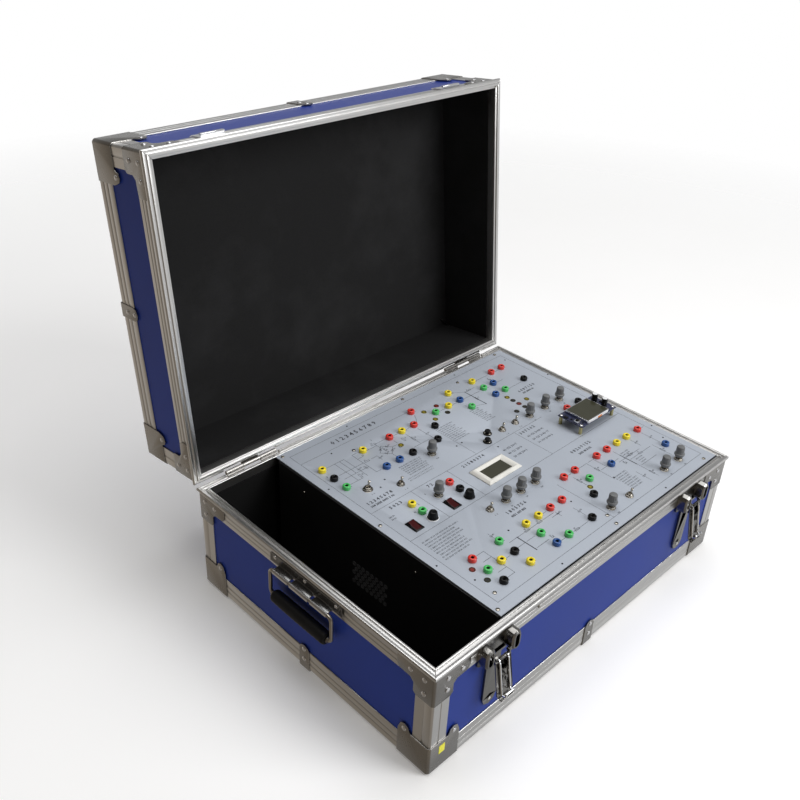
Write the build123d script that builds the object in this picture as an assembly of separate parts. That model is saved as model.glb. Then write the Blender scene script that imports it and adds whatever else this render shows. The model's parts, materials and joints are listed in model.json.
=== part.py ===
from build123d import *
import math
import os

# Digital logic trainer in an aluminium-edged flight case, lid open.
# Millimetres. +Z up, +X to the right, -Y is the latch side, +Y the hinge side.
# The origin is the middle of the plane that the base stands on.

# ---------------------------------------------------------------- driving dimensions
CASE_W = 610.0            # over the corner caps, left to right
CASE_D = 434.0            # over the corner caps, latch side to hinge side
BASE_H = 162.0            # floor to the rim of the base
LID_H = 120.0             # rim to top of the lid
RIM_GAP = 0.4             # between the two rims when the lid is shut
LID_OPEN = 96.3           # degrees between shut and the open stop

FITTING_T = 1.2           # pressed steel caps, braces and clips
EXTRUSION_T = 1.5         # wall of the aluminium edge extrusions
BOARD_T = 7.0             # laminated board
LINING_T = 1.0            # black lining sheet

EDGE_LEG = 33.0           # legs of the extrusions along the closed side
CORNER_LEG = 28.0         # legs of the upright corner extrusions
RIM_BAND = 27.0           # height of the rim extrusion's outer leg
EXTRUSION_R = 2.4         # blunted outer corner of the edge extrusions
UPRIGHT_R = 2.4           # blunted upright corners, where caps and braces wrap round
CAP_R = 6.0               # depth that the caps' and braces' blunt edges reach back
CAP_FLAT = 3.2            # flat across the outer edges of the corner caps
BEAD_OUT = 1.6            # how far the rim's bead stands outside the caps

BOARD_IN = FITTING_T + EXTRUSION_T        # outer face of the boards, from the cap plane
WALL_IN = BOARD_IN + BOARD_T              # inner face of the boards
LINED_IN = WALL_IN + LINING_T             # inner face of the lining and the rim's lip

HINGE_Y = CASE_D / 2 + 3.3                # lid axis, just outside the back rim
HINGE_Z = BASE_H - 0.8
HINGE_X = 216.0                           # middle of each hinge
HINGE_LEN = 86.0
HINGE_R = 3.1
HINGE_PIN_R = 1.6
HINGE_KNUCKLES = 3

PANEL_X = (-185.0, 294.0)                 # silver control panel
PANEL_Y = (-203.6, 205.8)
PANEL_T = 2.0
PANEL_TOP = BASE_H
BOX_LEFT = -187.0                         # vented wall between panel and compartment
BOX_Y = (-201.0, 196.0)
BOX_T = 1.2

LATCH_X = 206.0                           # each latch, from the middle
LATCH_PIVOT = (10.5, 136.0)               # lever axis: out from the cap plane, height
LEVER_REST = 10.4                         # degrees that the open lever hangs out
LEVER_LEN = 61.0
BAIL_OFFSET = (-0.2, -6.0)                # bail axis from the lever axis, lever shut

HANDLE_Y = -5.0                           # middle of the side handles
HANDLE_OUT = 9.0                          # handle axis, out from the cap plane
HANDLE_Z = 138.5
HANDLE_SPAN = 114.0                       # between the handle's legs
HANDLE_DROP = 38.5                        # axis to grip
HANDLE_WIRE_R = 2.5

JACK_R = 5.65                             # coloured cap of a 4 mm socket
JACK_H = 6.0
SOCKET_R = 2.0
FLUSH_R = 4.25

# ---------------------------------------------------------------- panel layout (x, y)
YELLOW = [(-159, 137), (-85, 136), (-9, 135), (94, 138), (120, 163), (176, 163), (-119, 4),
          (232, -92), (207, -92), (-13, -121), (-38, -121), (-115, -145), (-90, -170)]
RED = [(-34, 135), (16, 135), (38, 163), (223, 163), (248, 163), (-47, 4), (261, -92), (182, -92),
       (157, -92), (105, -92), (80, -92), (37, -121), (12, -121), (-140, -120), (229, 14)]
GREEN = [(-159, 87), (66, 138), (120, 113), (176, 138), (199, 113), (-119, -15), (105, -117),
         (-38, -145), (-13, -170), (-90, -120), (-140, -145)]
BLUE = [(-86, 86), (-61, 86), (120, 138), (199, 138), (176, 113), (157, -117), (260, -141),
        (-38, -170)]
BLACK = [(-159, 112), (-35, 86), (38, 113), (16, 86), (248, 115), (-47, -15), (80, -142),
         (37, -170), (-90, -145), (-140, -170), (259, 15)]
FLUSH_YELLOW = [(-33, 112), (55, 152), (54, 127), (185, 97), (205, 74), (92, -128)]
FLUSH_RED = [(82, 152), (185, 73), (-152, -131)]
FLUSH_BLACK = [(82, 128), (185, 85), (165, 61), (185, 61), (-152, -155)]
TRUE_SOCKETS = [YELLOW[0], RED[0], BLACK[0]]   # modelled in full depth, with a round bore
KNOBS = [(-15, 68), (-77, -4), (-18, -71), (13, -71), (44, -71), (170, 40), (207, 40), (243, 40),
         (76, -173), (206, -173), (243, -173)]
TOGGLES = [(-139, 67), (-98, 46), (108, 42), (138, 42), (-49, -70), (116, -175)]
ROCKERS = [(-77, -29), (-146, -28)]
FUSES = [(-48, -33), (-117, -32)]
BUTTONS = [(84, 50), (68, 36)]

METER = (24.5, -17.0)                     # middle of the panel meter
METER_SIZE = (68.0, 39.0)
METER_WINDOW = (44.0, 22.0)
DISPLAY_X = (185.0, 272.0)                # small display board on standoffs
DISPLAY_Y = (-44.5, 0.0)
DISPLAY_Z = PANEL_TOP + 13.0
SCREEN_X = (200.0, 252.0)
SCREEN_Y = (-43.0, -3.0)
DISPLAY_BUTTON = (191.0, -31.0)
INLET_X = 150.0                           # mains inlet in the back wall
INLET_Z = 60.0
INLET_CUT = (28.0, 21.0)

PIECES = {}                               # node name -> list of solids


# ---------------------------------------------------------------- helpers
def block(x, y, z):
    """A box from three (low, high) pairs."""
    size = [high - low for low, high in (x, y, z)]
    middle = [(high + low) / 2 for low, high in (x, y, z)]
    return Pos(*middle) * Box(*size)


def along_x(points, x0, x1):
    """Extrude a closed (y, z) outline from x0 to x1."""
    face = Plane.YZ.offset(x0) * make_face(Polyline(*points, close=True))
    return extrude(face, x1 - x0, dir=(1, 0, 0))


def along_y(points, y0, y1):
    """Extrude a closed (x, z) outline from y0 to y1."""
    face = Plane.XZ.offset(-y0) * make_face(Polyline(*points, close=True))
    return extrude(face, y1 - y0, dir=(0, 1, 0))


def along_z(points, z0, z1):
    """Extrude a closed (x, y) outline from z0 to z1."""
    face = Plane.XY.offset(z0) * make_face(Polyline(*points, close=True))
    return extrude(face, z1 - z0, dir=(0, 0, 1))


def rod_x(y, z, r, x0, x1, sides=8):
    """A rod along x with a many-sided section."""
    return Pos(x0, y, z) * Rot(0, 90, 0) * extrude(RegularPolygon(r, sides), x1 - x0)


def rod_y(x, z, r, y0, y1, sides=10):
    """A rod along y with a many-sided section."""
    return Pos(x, y1, z) * Rot(90, 0, 0) * extrude(RegularPolygon(r, sides), y1 - y0)


def round_z(x, y, r, z0, z1):
    """A true round cylinder along z."""
    return Pos(x, y, (z0 + z1) / 2) * Cylinder(r, z1 - z0)


def polygon_z(x, y, r, sides, z0, z1):
    """An upright prism with a regular polygon section."""
    return Pos(x, y, z0) * extrude(RegularPolygon(r, sides), z1 - z0)


def taper_z(x, y, r0, r1, sides, z0, z1):
    """An upright prism that tapers from one polygon to another, drawn from its wide end."""
    place = Pos(x, y, z0) if r0 >= r1 else Pos(x, y, z1) * Rot(180, 0, 0)
    narrowing = abs(r0 - r1) * math.cos(math.pi / sides)
    slope = math.degrees(math.atan(narrowing / (z1 - z0)))
    return place * extrude(RegularPolygon(max(r0, r1), sides), z1 - z0, taper=slope)


def clear(r, sides):
    """Corner radius of a many-sided bore whose flats leave room for a rod of radius r."""
    return r / math.cos(math.pi / sides)


def bent(points, radius, steps):
    """A 3-D polyline with its square corners rounded off in short runs."""
    points = [Vector(*p) for p in points]
    path = [points[0]]
    for before, corner, after in zip(points, points[1:], points[2:]):
        way_in, way_out = (corner - before).normalized(), (after - corner).normalized()
        centre = corner - way_in * radius + way_out * radius
        for k in range(steps + 1):
            turn = math.pi / 2 * k / steps
            path.append(centre - way_out * (radius * math.cos(turn))
                        + way_in * (radius * math.sin(turn)))
    return path + [points[-1]]


def wire(points, radius, steps, r, sides):
    """A bent wire: one many-sided section carried along the path with mitred joints."""
    path = Polyline(*bent(points, radius, steps))
    start = Plane(origin=path @ 0, z_dir=path % 0)
    return sweep(start * RegularPolygon(r, sides), path=path, transition=Transition.RIGHT)


def mirror_x(shape):
    return mirror(shape, about=Plane.YZ)


def mirror_y(shape):
    return mirror(shape, about=Plane.XZ)


def four_corners(shape):
    """A shape at the left front corner, copied to all four corners."""
    left = [shape, mirror_y(shape)]
    return left + [mirror_x(s) for s in left]


def add(node, shapes):
    shapes = shapes if isinstance(shapes, (list, tuple)) else [shapes]
    PIECES.setdefault(node, []).extend(solid for shape in shapes for solid in shape.solids())


def shut_lid(shape):
    """From the lid's own frame, floor down, to its place on the shut case."""
    return Pos(0, 0, BASE_H + RIM_GAP + LID_H) * Rot(180, 0, 0) * shape


def open_lid(shape):
    """Turn a piece of the shut lid about the hinge axis to the open stop."""
    return Pos(0, HINGE_Y, HINGE_Z) * Rot(-LID_OPEN, 0, 0) * Pos(0, -HINGE_Y, -HINGE_Z) * shape


# ---------------------------------------------------------------- case halves
def boards(height):
    """Floor board and four wall boards of one half, floor down."""
    top = height - 6.2
    half_x, half_y = CASE_W / 2 - BOARD_IN, CASE_D / 2 - BOARD_IN
    in_x, in_y = CASE_W / 2 - WALL_IN, CASE_D / 2 - WALL_IN
    floor = block((-half_x, half_x), (-half_y, half_y), (BOARD_IN, WALL_IN))
    front = block((-half_x, half_x), (-half_y, -in_y), (WALL_IN, top))
    left = block((-half_x, -in_x), (-in_y, in_y), (WALL_IN, top))
    return [floor, front, mirror_y(front), left, mirror_x(left)]


def lining(height, right):
    """Lining sheets of the floor and the walls, from the left wall to x = right."""
    top = height - 14.2
    x0, x1 = -(CASE_W / 2 - WALL_IN), right
    y1 = CASE_D / 2 - WALL_IN
    floor = block((x0, x1), (-y1, y1), (WALL_IN, WALL_IN + LINING_T))
    low = WALL_IN + LINING_T
    left = block((x0, x0 + LINING_T), (-y1, y1), (low, top))
    front = block((x0 + LINING_T, x1), (-y1, -y1 + LINING_T), (low, top))
    return [floor, left, front, mirror_y(front)]


def ribbed(points_in, face, lows, depth=0.5, width=1.4):
    """Outline points of a straight outer face with shallow grooves cut into it."""
    points = []
    for low in lows:
        for along, into in ((low, 0), (low, depth), (low + width, depth), (low + width, 0)):
            points.append((face + into, along))
    return points_in + points


def rim_section(height, tongue):
    """Rim extrusion: ribbed outer leg, bead, groove or tongue, inner lip. (inward, z)."""
    outer = ribbed([(FITTING_T, height - RIM_BAND)], FITTING_T, [height - 20, height - 13])
    bead = [(FITTING_T, height - 5.4), (-BEAD_OUT + 0.6, height - 4.8), (-BEAD_OUT, height - 3.8),
            (-BEAD_OUT, height - 1.6), (-BEAD_OUT + 1.2, height), (3.0, height)]
    if tongue:
        middle = [(3.6, height), (3.6, height + 2.2), (7.4, height + 2.2), (7.4, height)]
    else:
        middle = [(3.0, height - 3), (8.0, height - 3), (8.0, height)]
    lip = [(LINED_IN, height), (LINED_IN, height - 14), (WALL_IN, height - 14),
           (WALL_IN, height - 6), (BOARD_IN, height - 6), (BOARD_IN, height - RIM_BAND)]
    return outer + bead + middle + lip


def edge_section():
    """Ribbed angle along a closed edge. (inward, z)."""
    f, b, leg, r = FITTING_T, BOARD_IN, EDGE_LEG, EXTRUSION_R
    outer = ribbed([], f, [12, 21])
    return [(leg, b), (leg, f), (f + r, f), (f, f + r)] + outer + [(f, leg), (b, leg), (b, b)]


def four_sides(section):
    """Four mitred bars of one section round the case."""
    bars = []
    sides = ((CASE_W, CASE_D / 2, 0), (CASE_D, CASE_W / 2, 90),
             (CASE_W, CASE_D / 2, 180), (CASE_D, CASE_W / 2, 270))
    for length, half, angle in sides:
        outline = [(-half + inward, z) for inward, z in section]
        bar = along_x(outline, -length / 2 - 3, length / 2 + 3)
        out, deep, gap = 3.0, 40.0, 0.1
        mitre = [(-length / 2 - out + gap, -half - out), (length / 2 + out - gap, -half - out),
                 (length / 2 - deep - gap, -half + deep), (-length / 2 + deep + gap, -half + deep)]
        bars.append(Rot(0, 0, angle) * (bar & along_z(mitre, -5, 300)))
    return bars


def blunt_corners(bars, z0, z1):
    """Take the sharp upright corners off mitred bars between two heights."""
    x0, y0, r = -CASE_W / 2 + FITTING_T, -CASE_D / 2 + FITTING_T, UPRIGHT_R
    waste = along_z([(x0 - 1, y0 - 1), (x0 + r + 1, y0 - 1), (x0 - 1, y0 + r + 1)], z0, z1)
    for cut in four_corners(waste):
        bars = [bar - cut for bar in bars]
    return bars


def edge_bars():
    return blunt_corners(four_sides(edge_section()), 0, EDGE_LEG + 1)


def rim_bars(height, tongue):
    bars = four_sides(rim_section(height, tongue))
    return blunt_corners(bars, height - RIM_BAND - 1, height - 5.5)


def corner_posts(height):
    """Ribbed upright angles between the edge extrusions and the rim."""
    f, b, leg, r = FITTING_T, BOARD_IN, CORNER_LEG, UPRIGHT_R
    x0, y0 = -CASE_W / 2, -CASE_D / 2
    face = ribbed([], f, [14])
    side_y = [(x0 + into, y0 + along) for into, along in reversed(face)]
    side_x = [(x0 + along, y0 + into) for into, along in face]
    outline = ([(x0 + b, y0 + leg), (x0 + f, y0 + leg)] + side_y + [(x0 + f, y0 + f + r)]
               + [(x0 + f + r, y0 + f)] + side_x
               + [(x0 + leg, y0 + f), (x0 + leg, y0 + b), (x0 + b, y0 + b)])
    post = along_z(outline, EDGE_LEG + 0.2, height - RIM_BAND - 0.2)
    return four_corners(post)


def rim_brace(height):
    """Pressed steel brace round one upright corner, just under the rim's bead."""
    x0, y0, reach = -CASE_W / 2, -CASE_D / 2, 60.0
    upright = lambda s: s.edges().filter_by(Axis.Z).sort_by(lambda e: e.center().X + e.center().Y)[0]
    outer = block((x0, x0 + reach), (y0, y0 + reach), (height - 50, height))
    outer = chamfer(upright(outer), CAP_FLAT - 0.5)
    inner = block((x0 + FITTING_T, x0 + reach + 1), (y0 + FITTING_T, y0 + reach + 1),
                  (height - 51, height + 1))
    shell = outer - chamfer(upright(inner), UPRIGHT_R - 0.2)
    outline = [(0, -5.8), (57, -5.8), (57, -19), (53, -25), (36, -26), (31, -31), (31, -43),
               (27, -47), (0, -47)]
    front = along_y([(x0 + u, height + v) for u, v in outline], y0, y0 + CAP_R)
    side = along_x([(y0 + u, height + v) for u, v in outline], x0, x0 + CAP_R)
    return shell & (front + side)


def near_edges(cube, corner):
    """The three edges of a cube that meet at its lowest corner."""
    return [e for e in cube.edges()
            if min((e.position_at(t) - Vector(*corner)).length for t in (0, 1)) < 1e-6]


def corner_cap():
    """Pressed steel cap over one closed corner, with a rounded rivet tab on each upright face."""
    x0, y0, reach, wide, tall = -CASE_W / 2, -CASE_D / 2, 62.0, 50.0, 46.0
    t = FITTING_T
    outer = block((x0, x0 + reach), (y0, y0 + reach), (0, reach))
    outer = chamfer(near_edges(outer, (x0, y0, 0)), CAP_FLAT)
    inner = block((x0 + t, x0 + reach + 1), (y0 + t, y0 + reach + 1), (t, reach + 1))
    shell = outer - chamfer(near_edges(inner, (x0 + t, y0 + t, t)), EXTRUSION_R - 0.6)
    u, v, r = 40.0, 48.0, 8.0
    k = r * math.sqrt(0.5)
    outline = [(0, 0), (wide, 0), (wide, tall - 4), (u + r, v), (u + k, v + k), (u, v + r),
               (u - k, v + k), (u - r, v), (u - r - 2, tall), (0, tall)]
    front = along_y([(x0 + a, b) for a, b in outline], y0, y0 + CAP_R)
    side = along_x([(y0 + a, b) for a, b in outline], x0, x0 + CAP_R)
    under = block((x0, x0 + wide), (y0, y0 + wide), (0, CAP_R))
    return shell & (front + side + under)


def edge_clips():
    """Pressed clips with a rounded top at the middle of each closed edge."""
    t, half, up, under = FITTING_T, 9.5, 40.5, 24.0
    arch = [(-half, -1), (half, -1), (half, up - 8), (half * 0.7, up - 2.4), (0, up),
            (-half * 0.7, up - 2.4), (-half, up - 8)]
    clips = []
    for reach, angle in ((CASE_D / 2, 0), (CASE_W / 2, 90), (CASE_D / 2, 180), (CASE_W / 2, 270)):
        outline = [(-reach, t), (-reach, up), (-reach + t, up), (-reach + t, t),
                   (-reach + under, t), (-reach + under, 0), (-reach + t, 0)]
        clip = along_x(outline, -half, half) & along_y(arch, -reach - 1, -reach + under + 1)
        clips.append(Rot(0, 0, angle) * clip)
    return clips


def fittings(height):
    return four_corners(corner_cap()) + four_corners(rim_brace(height)) + edge_clips()


# ---------------------------------------------------------------- hinges
def hinge_notch(bars):
    """Cut the back bead and groove wall away where the hinge barrels lie."""
    y = CASE_D / 2
    for side in (-1, 1):
        x = (side * HINGE_X - HINGE_LEN / 2 - 1, side * HINGE_X + HINGE_LEN / 2 + 1)
        gap = block(x, (y - 3.2, y + 4), (BASE_H - 5.6, BASE_H + RIM_GAP + 5.6))
        bars = [solid for bar in bars for solid in (bar - gap).solids()]
    return bars


def hinge_leaf(side, lid):
    """One leaf: a plate on the back wall with its share of the barrel's knuckles."""
    back = CASE_D / 2 - FITTING_T
    x0 = side * HINGE_X - HINGE_LEN / 2 + 1
    length = HINGE_LEN - 2
    step = length / HINGE_KNUCKLES
    sign = 1 if lid else -1
    middle = BASE_H + RIM_GAP / 2
    level = lambda d: middle + sign * d
    braces = CASE_W / 2 - 57.5
    plate = block((max(x0, -braces), min(x0 + length, braces)), (back, back + 1.5),
                  sorted((level(6.0), level(28))))
    web = [(back, level(6.0)), (back + 1.5, level(6.0)), (HINGE_Y - 0.6, level(3.2)),
           (HINGE_Y, HINGE_Z), (HINGE_Y - 2.2, HINGE_Z), (back + 0.9, level(3.4)),
           (back, level(5.0))]
    leaf = plate
    bore = clear(HINGE_PIN_R + 0.04, 8)
    for k in range(HINGE_KNUCKLES):
        if (k % 2 == 1) != lid:
            continue
        a, b = x0 + k * step + 0.25, x0 + (k + 1) * step - 0.25
        leaf = leaf + along_x(web, a, b) + rod_x(HINGE_Y, HINGE_Z, HINGE_R, a, b)
    return leaf - rod_x(HINGE_Y, HINGE_Z, bore, x0 - 1, x0 + length + 1)


def hinge_pin(side):
    x0 = side * HINGE_X - HINGE_LEN / 2 + 1
    return rod_x(HINGE_Y, HINGE_Z, HINGE_PIN_R, x0, x0 + HINGE_LEN - 2)


# ---------------------------------------------------------------- latches
def out_y(s):
    """y of a point that lies s outside the front cap plane."""
    return -CASE_D / 2 - s


def latch_profile(points):
    """(out, z) points of a latch piece as (y, z)."""
    return [(out_y(s), z) for s, z in points]


def turn_about(point, degrees, shape):
    """Turn a latch piece about an axis along x through (out, z), outward for +."""
    y, z = out_y(point[0]), point[1]
    return Pos(0, y, z) * Rot(-degrees, 0, 0) * Pos(0, -y, -z) * shape


def obround(x, low, high, r):
    """(x, z) outline of an upright slot shape, its ends rounded in four flats."""
    points = []
    for centre, start in ((high, 0), (low, math.pi)):
        for k in range(5):
            a = start + math.pi * k / 4
            points.append((x + r * math.cos(a), centre + r * math.sin(a)))
    return points


def latch_base(x):
    """Base plate with two domed ears, pivot stubs and the padlock tab."""
    s0, z0 = LATCH_PIVOT
    head = along_y([(x - 30, 134.6), (x + 30, 134.6), (x + 30, 152), (x + 25.6, 156.4),
                    (x - 25.6, 156.4), (x - 30, 152)], out_y(0.3), out_y(-1.2))
    chin = along_y([(x - 12, 58), (x - 8.5, 49.5), (x, 46), (x + 8.5, 49.5), (x + 12, 58),
                    (x + 12, 125), (x + 27, 125), (x + 30, 128), (x + 30, 134.8),
                    (x - 30, 134.8), (x - 30, 128), (x - 27, 125), (x - 12, 125)],
                   out_y(0.3), out_y(-2.7))
    plate = head + chin - rod_y(x, 60, 3, out_y(1), out_y(-3), sides=8)
    for side in (-1, 1):
        ear_x, low, high, reach = x + side * 22.2, 136.2, 149, 12.8
        ear = along_y(obround(ear_x, low, high, 7.8), out_y(reach), out_y(0))
        ear = chamfer(ear.faces().sort_by(Axis.Y)[0].edges(), 2.2)
        plate += ear - along_y(obround(ear_x, low, high, 3.4), out_y(reach + 1), out_y(reach - 2.5))
        plate += rod_x(out_y(s0), z0, 1.5, *sorted((x + side * 9.4, x + side * 15)))
    tab = along_z([(x - 5.5, out_y(0)), (x - 5.5, out_y(12.5)), (x - 3.9, out_y(16.4)),
                   (x, out_y(18)), (x + 3.9, out_y(16.4)), (x + 5.5, out_y(12.5)),
                   (x + 5.5, out_y(0))], 117.2, 118.8)
    return plate + tab - polygon_z(x, out_y(12.5), 2.7, 8, 116, 120)


def latch_lever(x):
    """Hasp lever: two arms on the pivots, a plate with a slot, a lock boss and a curled lip."""
    s0, z0 = LATCH_PIVOT
    b_s, b_z = s0 + BAIL_OFFSET[0], z0 + BAIL_OFFSET[1]
    face, back = s0 + 0.75, s0 - 0.75
    low = z0 - LEVER_LEN
    half, neck, slot = 13.6, 9.2, 6.3
    outline = [(-10, low + 2), (10, low + 2), (half, low + 8), (half, z0), (neck, z0),
               (neck, z0 - 14), (slot, z0 - 14), (slot, z0 - 21.4), (-slot, z0 - 21.4),
               (-slot, z0 - 14), (-neck, z0 - 14), (-neck, z0), (-half, z0), (-half, low + 8)]
    plate = along_y([(x + u, z) for u, z in outline], out_y(face), out_y(back))
    for side in (-1, 1):
        plate += rod_x(out_y(s0), z0, 2.75, *sorted((x + side * 9.4, x + side * 13.6)))
    plate += rod_x(out_y(b_s), b_z, 1.5, x - 13.4, x + 13.4)
    lip = [(back, low + 2), (face, low + 2.4), (face + 2.2, low + 1.8), (face + 3.4, low + 2.8),
           (face + 4.3, low + 2.0), (face + 2.6, low + 0.2), (face, low), (back + 0.4, low + 0.6)]
    plate += along_x(latch_profile(lip), x - 9.6, x + 9.6)
    boss_z = z0 - 33
    plate += rod_y(x, boss_z, 4.6, out_y(face + 1.4), out_y(face - 0.2))
    plate -= block((x - 0.7, x + 0.7), (out_y(face + 3), out_y(face + 0.2)), (boss_z - 3, boss_z + 3))
    for side in (-1, 1):
        span = sorted((x + side * 8, x + side * 15))
        plate -= rod_x(out_y(s0), z0, clear(1.55, 8), *span)
    return turn_about(LATCH_PIVOT, LEVER_REST, plate)


def latch_bail(x):
    """Wire bail, drawn latched upward, then laid down along the lever."""
    s0, z0 = LATCH_PIVOT
    b = (s0 + BAIL_OFFSET[0], z0 + BAIL_OFFSET[1])
    leg_s, half, wire_r = b[0] - 2.4, 7.4, 1.25
    side = [(leg_s, b[1] + 2), (leg_s, 177.2), (1.9, 177.2), (1.9, 173.7)]
    points = [(x - half, out_y(s), z) for s, z in side]
    points += [(x + half, out_y(s), z) for s, z in reversed(side)]
    bail = wire(points, 1.2, 1, wire_r, 6)
    for sign in (-1, 1):
        span = sorted((x + sign * (half - 1.2), x + sign * (half + 1.2)))
        bail += rod_x(out_y(b[0]), b[1], 2.9, *span, sides=8)
    bail -= rod_x(out_y(b[0]), b[1], clear(1.55, 8), x - 10, x + 10, sides=8)
    bail = turn_about(b, -180, bail)
    return turn_about(LATCH_PIVOT, LEVER_REST, bail)


def latch_strike(x):
    """Keeper on the lid's front: joggled plate with an upturned lip. Drawn on the shut lid."""
    low, step, high = 170.6, BASE_H + RIM_GAP + RIM_BAND + 0.2, 200.0
    profile = [(-1.2, low), (4.9, low), (4.9, 175.6), (3.5, 175.6), (3.5, low + 1.4),
               (0.3, low + 1.4), (0.3, step), (-1.2, step + 1.5), (-1.2, high), (-2.7, high),
               (-2.7, step + 0.2), (-1.2, step)]
    plate = along_x(latch_profile(profile), x - 17, x + 17)
    outline = [(x - 17, low - 1), (x + 17, low - 1), (x + 17, high - 5), (x + 12, high),
               (x - 12, high), (x - 17, high - 5)]
    return plate & along_y(outline, out_y(6), out_y(-4))


# ---------------------------------------------------------------- side handles (left one)
def handle_plate():
    """Riveted plate, rolled at its lower edge into three knuckles round the bail."""
    out = lambda s: -CASE_W / 2 - s
    half = 66.0
    plate = along_x([(HANDLE_Y - half, 147), (HANDLE_Y + half, 147), (HANDLE_Y + half, 152.4),
                     (HANDLE_Y + half - 4, 156.4), (HANDLE_Y - half + 4, 156.4),
                     (HANDLE_Y - half, 152.4)], out(0.3), out(-1.2))
    web = [(out(s), z) for s, z in ((-1.2, 156), (0.3, 150), (HANDLE_OUT - 1, HANDLE_Z + 4.4),
                                    (HANDLE_OUT, HANDLE_Z), (HANDLE_OUT - 4.2, HANDLE_Z + 1.2),
                                    (0.3, 147), (-1.2, 147))]
    for low, high, r in ((-50, -21, 4.6), (-17, 17, 5.0), (21, 50, 4.6)):
        plate += along_y(web, HANDLE_Y + low, HANDLE_Y + high)
        plate += rod_y(out(HANDLE_OUT), HANDLE_Z, r, HANDLE_Y + low, HANDLE_Y + high)
    return plate - rod_y(out(HANDLE_OUT), HANDLE_Z, clear(HANDLE_WIRE_R + 0.08, 8),
                         HANDLE_Y - half, HANDLE_Y + half, sides=8)


def handle_bail():
    """Wire loop through the knuckles; its ends meet inside the grip. Ferrules on the wire."""
    x = -CASE_W / 2 - HANDLE_OUT
    half, low = HANDLE_SPAN / 2, HANDLE_Z - HANDLE_DROP
    corners = [(-2, low), (-half, low), (-half, HANDLE_Z), (half, HANDLE_Z), (half, low), (2, low)]
    loop = wire([(x, HANDLE_Y + y, z) for y, z in corners], 6.5, 2, HANDLE_WIRE_R, 8)
    for side in (-1, 1):
        ferrule = sorted((HANDLE_Y + side * 50.2, HANDLE_Y + side * 53))
        loop += rod_y(x, low, 4.2, *ferrule, sides=8)
    return loop


def handle_grip():
    """Moulded grip, slightly barrelled, with a bore for the wire."""
    x, low, half, sides = -CASE_W / 2 - HANDLE_OUT, HANDLE_Z - HANDLE_DROP, 50.0, 12
    profile = [(7.6, -half), (8.8, -half + 3), (9.2, 0), (8.8, half - 3), (7.6, half)]
    grip = loft([Pos(0, 0, z) * RegularPolygon(r, sides) for r, z in profile], ruled=True)
    grip -= polygon_z(0, 0, clear(HANDLE_WIRE_R + 0.05, 8), 8, -half - 1, half + 1)
    return Pos(x, HANDLE_Y, low) * Rot(90, 0, 0) * grip


# ---------------------------------------------------------------- control panel
def jack(x, y):
    """4 mm socket, seated on the panel: a coloured cap with a blind bore."""
    cap = polygon_z(x, y, JACK_R, 8, PANEL_TOP, PANEL_TOP + JACK_H)
    return cap - polygon_z(x, y, 2.3, 4, PANEL_TOP + 0.6, PANEL_TOP + JACK_H + 1)


def true_jack(x, y):
    """The same socket in full, with its body through the panel and a round bore."""
    cap = polygon_z(x, y, JACK_R, 8, PANEL_TOP, PANEL_TOP + JACK_H)
    body = polygon_z(x, y, 3.9, 6, PANEL_TOP - 15, PANEL_TOP + 0.5)
    return cap + body - round_z(x, y, SOCKET_R, PANEL_TOP - 12, PANEL_TOP + JACK_H + 1)


def flush_socket(x, y):
    """Small flush test socket, a ring just above the panel."""
    ring = polygon_z(x, y, FLUSH_R, 8, PANEL_TOP, PANEL_TOP + 1.6)
    return ring - polygon_z(x, y, 2.3, 4, PANEL_TOP + 0.6, PANEL_TOP + 3)


def control_panel():
    """Silver panel with openings for the pieces that reach down through it."""
    plate = block(PANEL_X, PANEL_Y, (PANEL_TOP - PANEL_T, PANEL_TOP))
    low, high = PANEL_TOP - PANEL_T - 1, PANEL_TOP + 1
    holes = [polygon_z(x, y, 4.1, 6, low, high) for x, y in TRUE_SOCKETS]
    holes += [polygon_z(x, y, 5.6, 8, low, high) for x, y in FUSES + BUTTONS]
    for x, y in ROCKERS:
        holes.append(block((x - 6.6, x + 6.6), (y - 9.6, y + 9.6), (low, high)))
    w, d = METER_SIZE
    x, y = METER
    holes.append(block((x - w / 2 + 4, x + w / 2 - 4), (y - d / 2 + 3, y + d / 2 - 3), (low, high)))
    return plate - holes


def panel_box():
    """Black sheet tray under the panel; its left wall closes the compartment and has vents."""
    x0, x1, t = BOX_LEFT, PANEL_X[1] - 0.8, BOX_T
    y0, y1 = BOX_Y
    z0, z1 = WALL_IN + 0.2, PANEL_TOP - PANEL_T
    tray = block((x0, x1), (y0, y1), (z0, z1))
    tray -= block((x0 + t, x1 - t), (y0 + t, y1 - t), (z0 + t, z1 + 1))
    pitch = 8.6
    vents = []
    for row in range(5):
        for k in range(8 - row % 2):
            y = -22 + pitch * (k + 0.5 * (row % 2))
            z = 50 + row * pitch * math.sqrt(0.75)
            vents.append(rod_x(y, z, 2.3, x0 - 1, x0 + t + 1, sides=4))
    w, h = INLET_CUT
    vents.append(block((INLET_X - w / 2, INLET_X + w / 2), (y1 - 3, y1 + 1),
                       (INLET_Z - h / 2, INLET_Z + h / 2)))
    return tray - vents


def pot_bush(x, y):
    """Tall nut of a pot, bored for the knob's spindle."""
    nut = polygon_z(x, y, 5.8, 6, PANEL_TOP, PANEL_TOP + 4.6)
    return nut - polygon_z(x, y, clear(2.9, 6), 6, PANEL_TOP + 0.4, PANEL_TOP + 5)


def toggle_bush(x, y, r):
    """Nut and bush of a toggle, with a conical mouth for the lever to tilt in."""
    top = PANEL_TOP + 5
    nut = polygon_z(x, y, r, 6, PANEL_TOP, PANEL_TOP + 2.4)
    bush = polygon_z(x, y, r * 0.7, 6, PANEL_TOP + 2.4, top)
    return nut + bush - taper_z(x, y, 2.2, r * 0.7 - 0.5, 6, PANEL_TOP + 0.3, top + 0.01)


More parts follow.
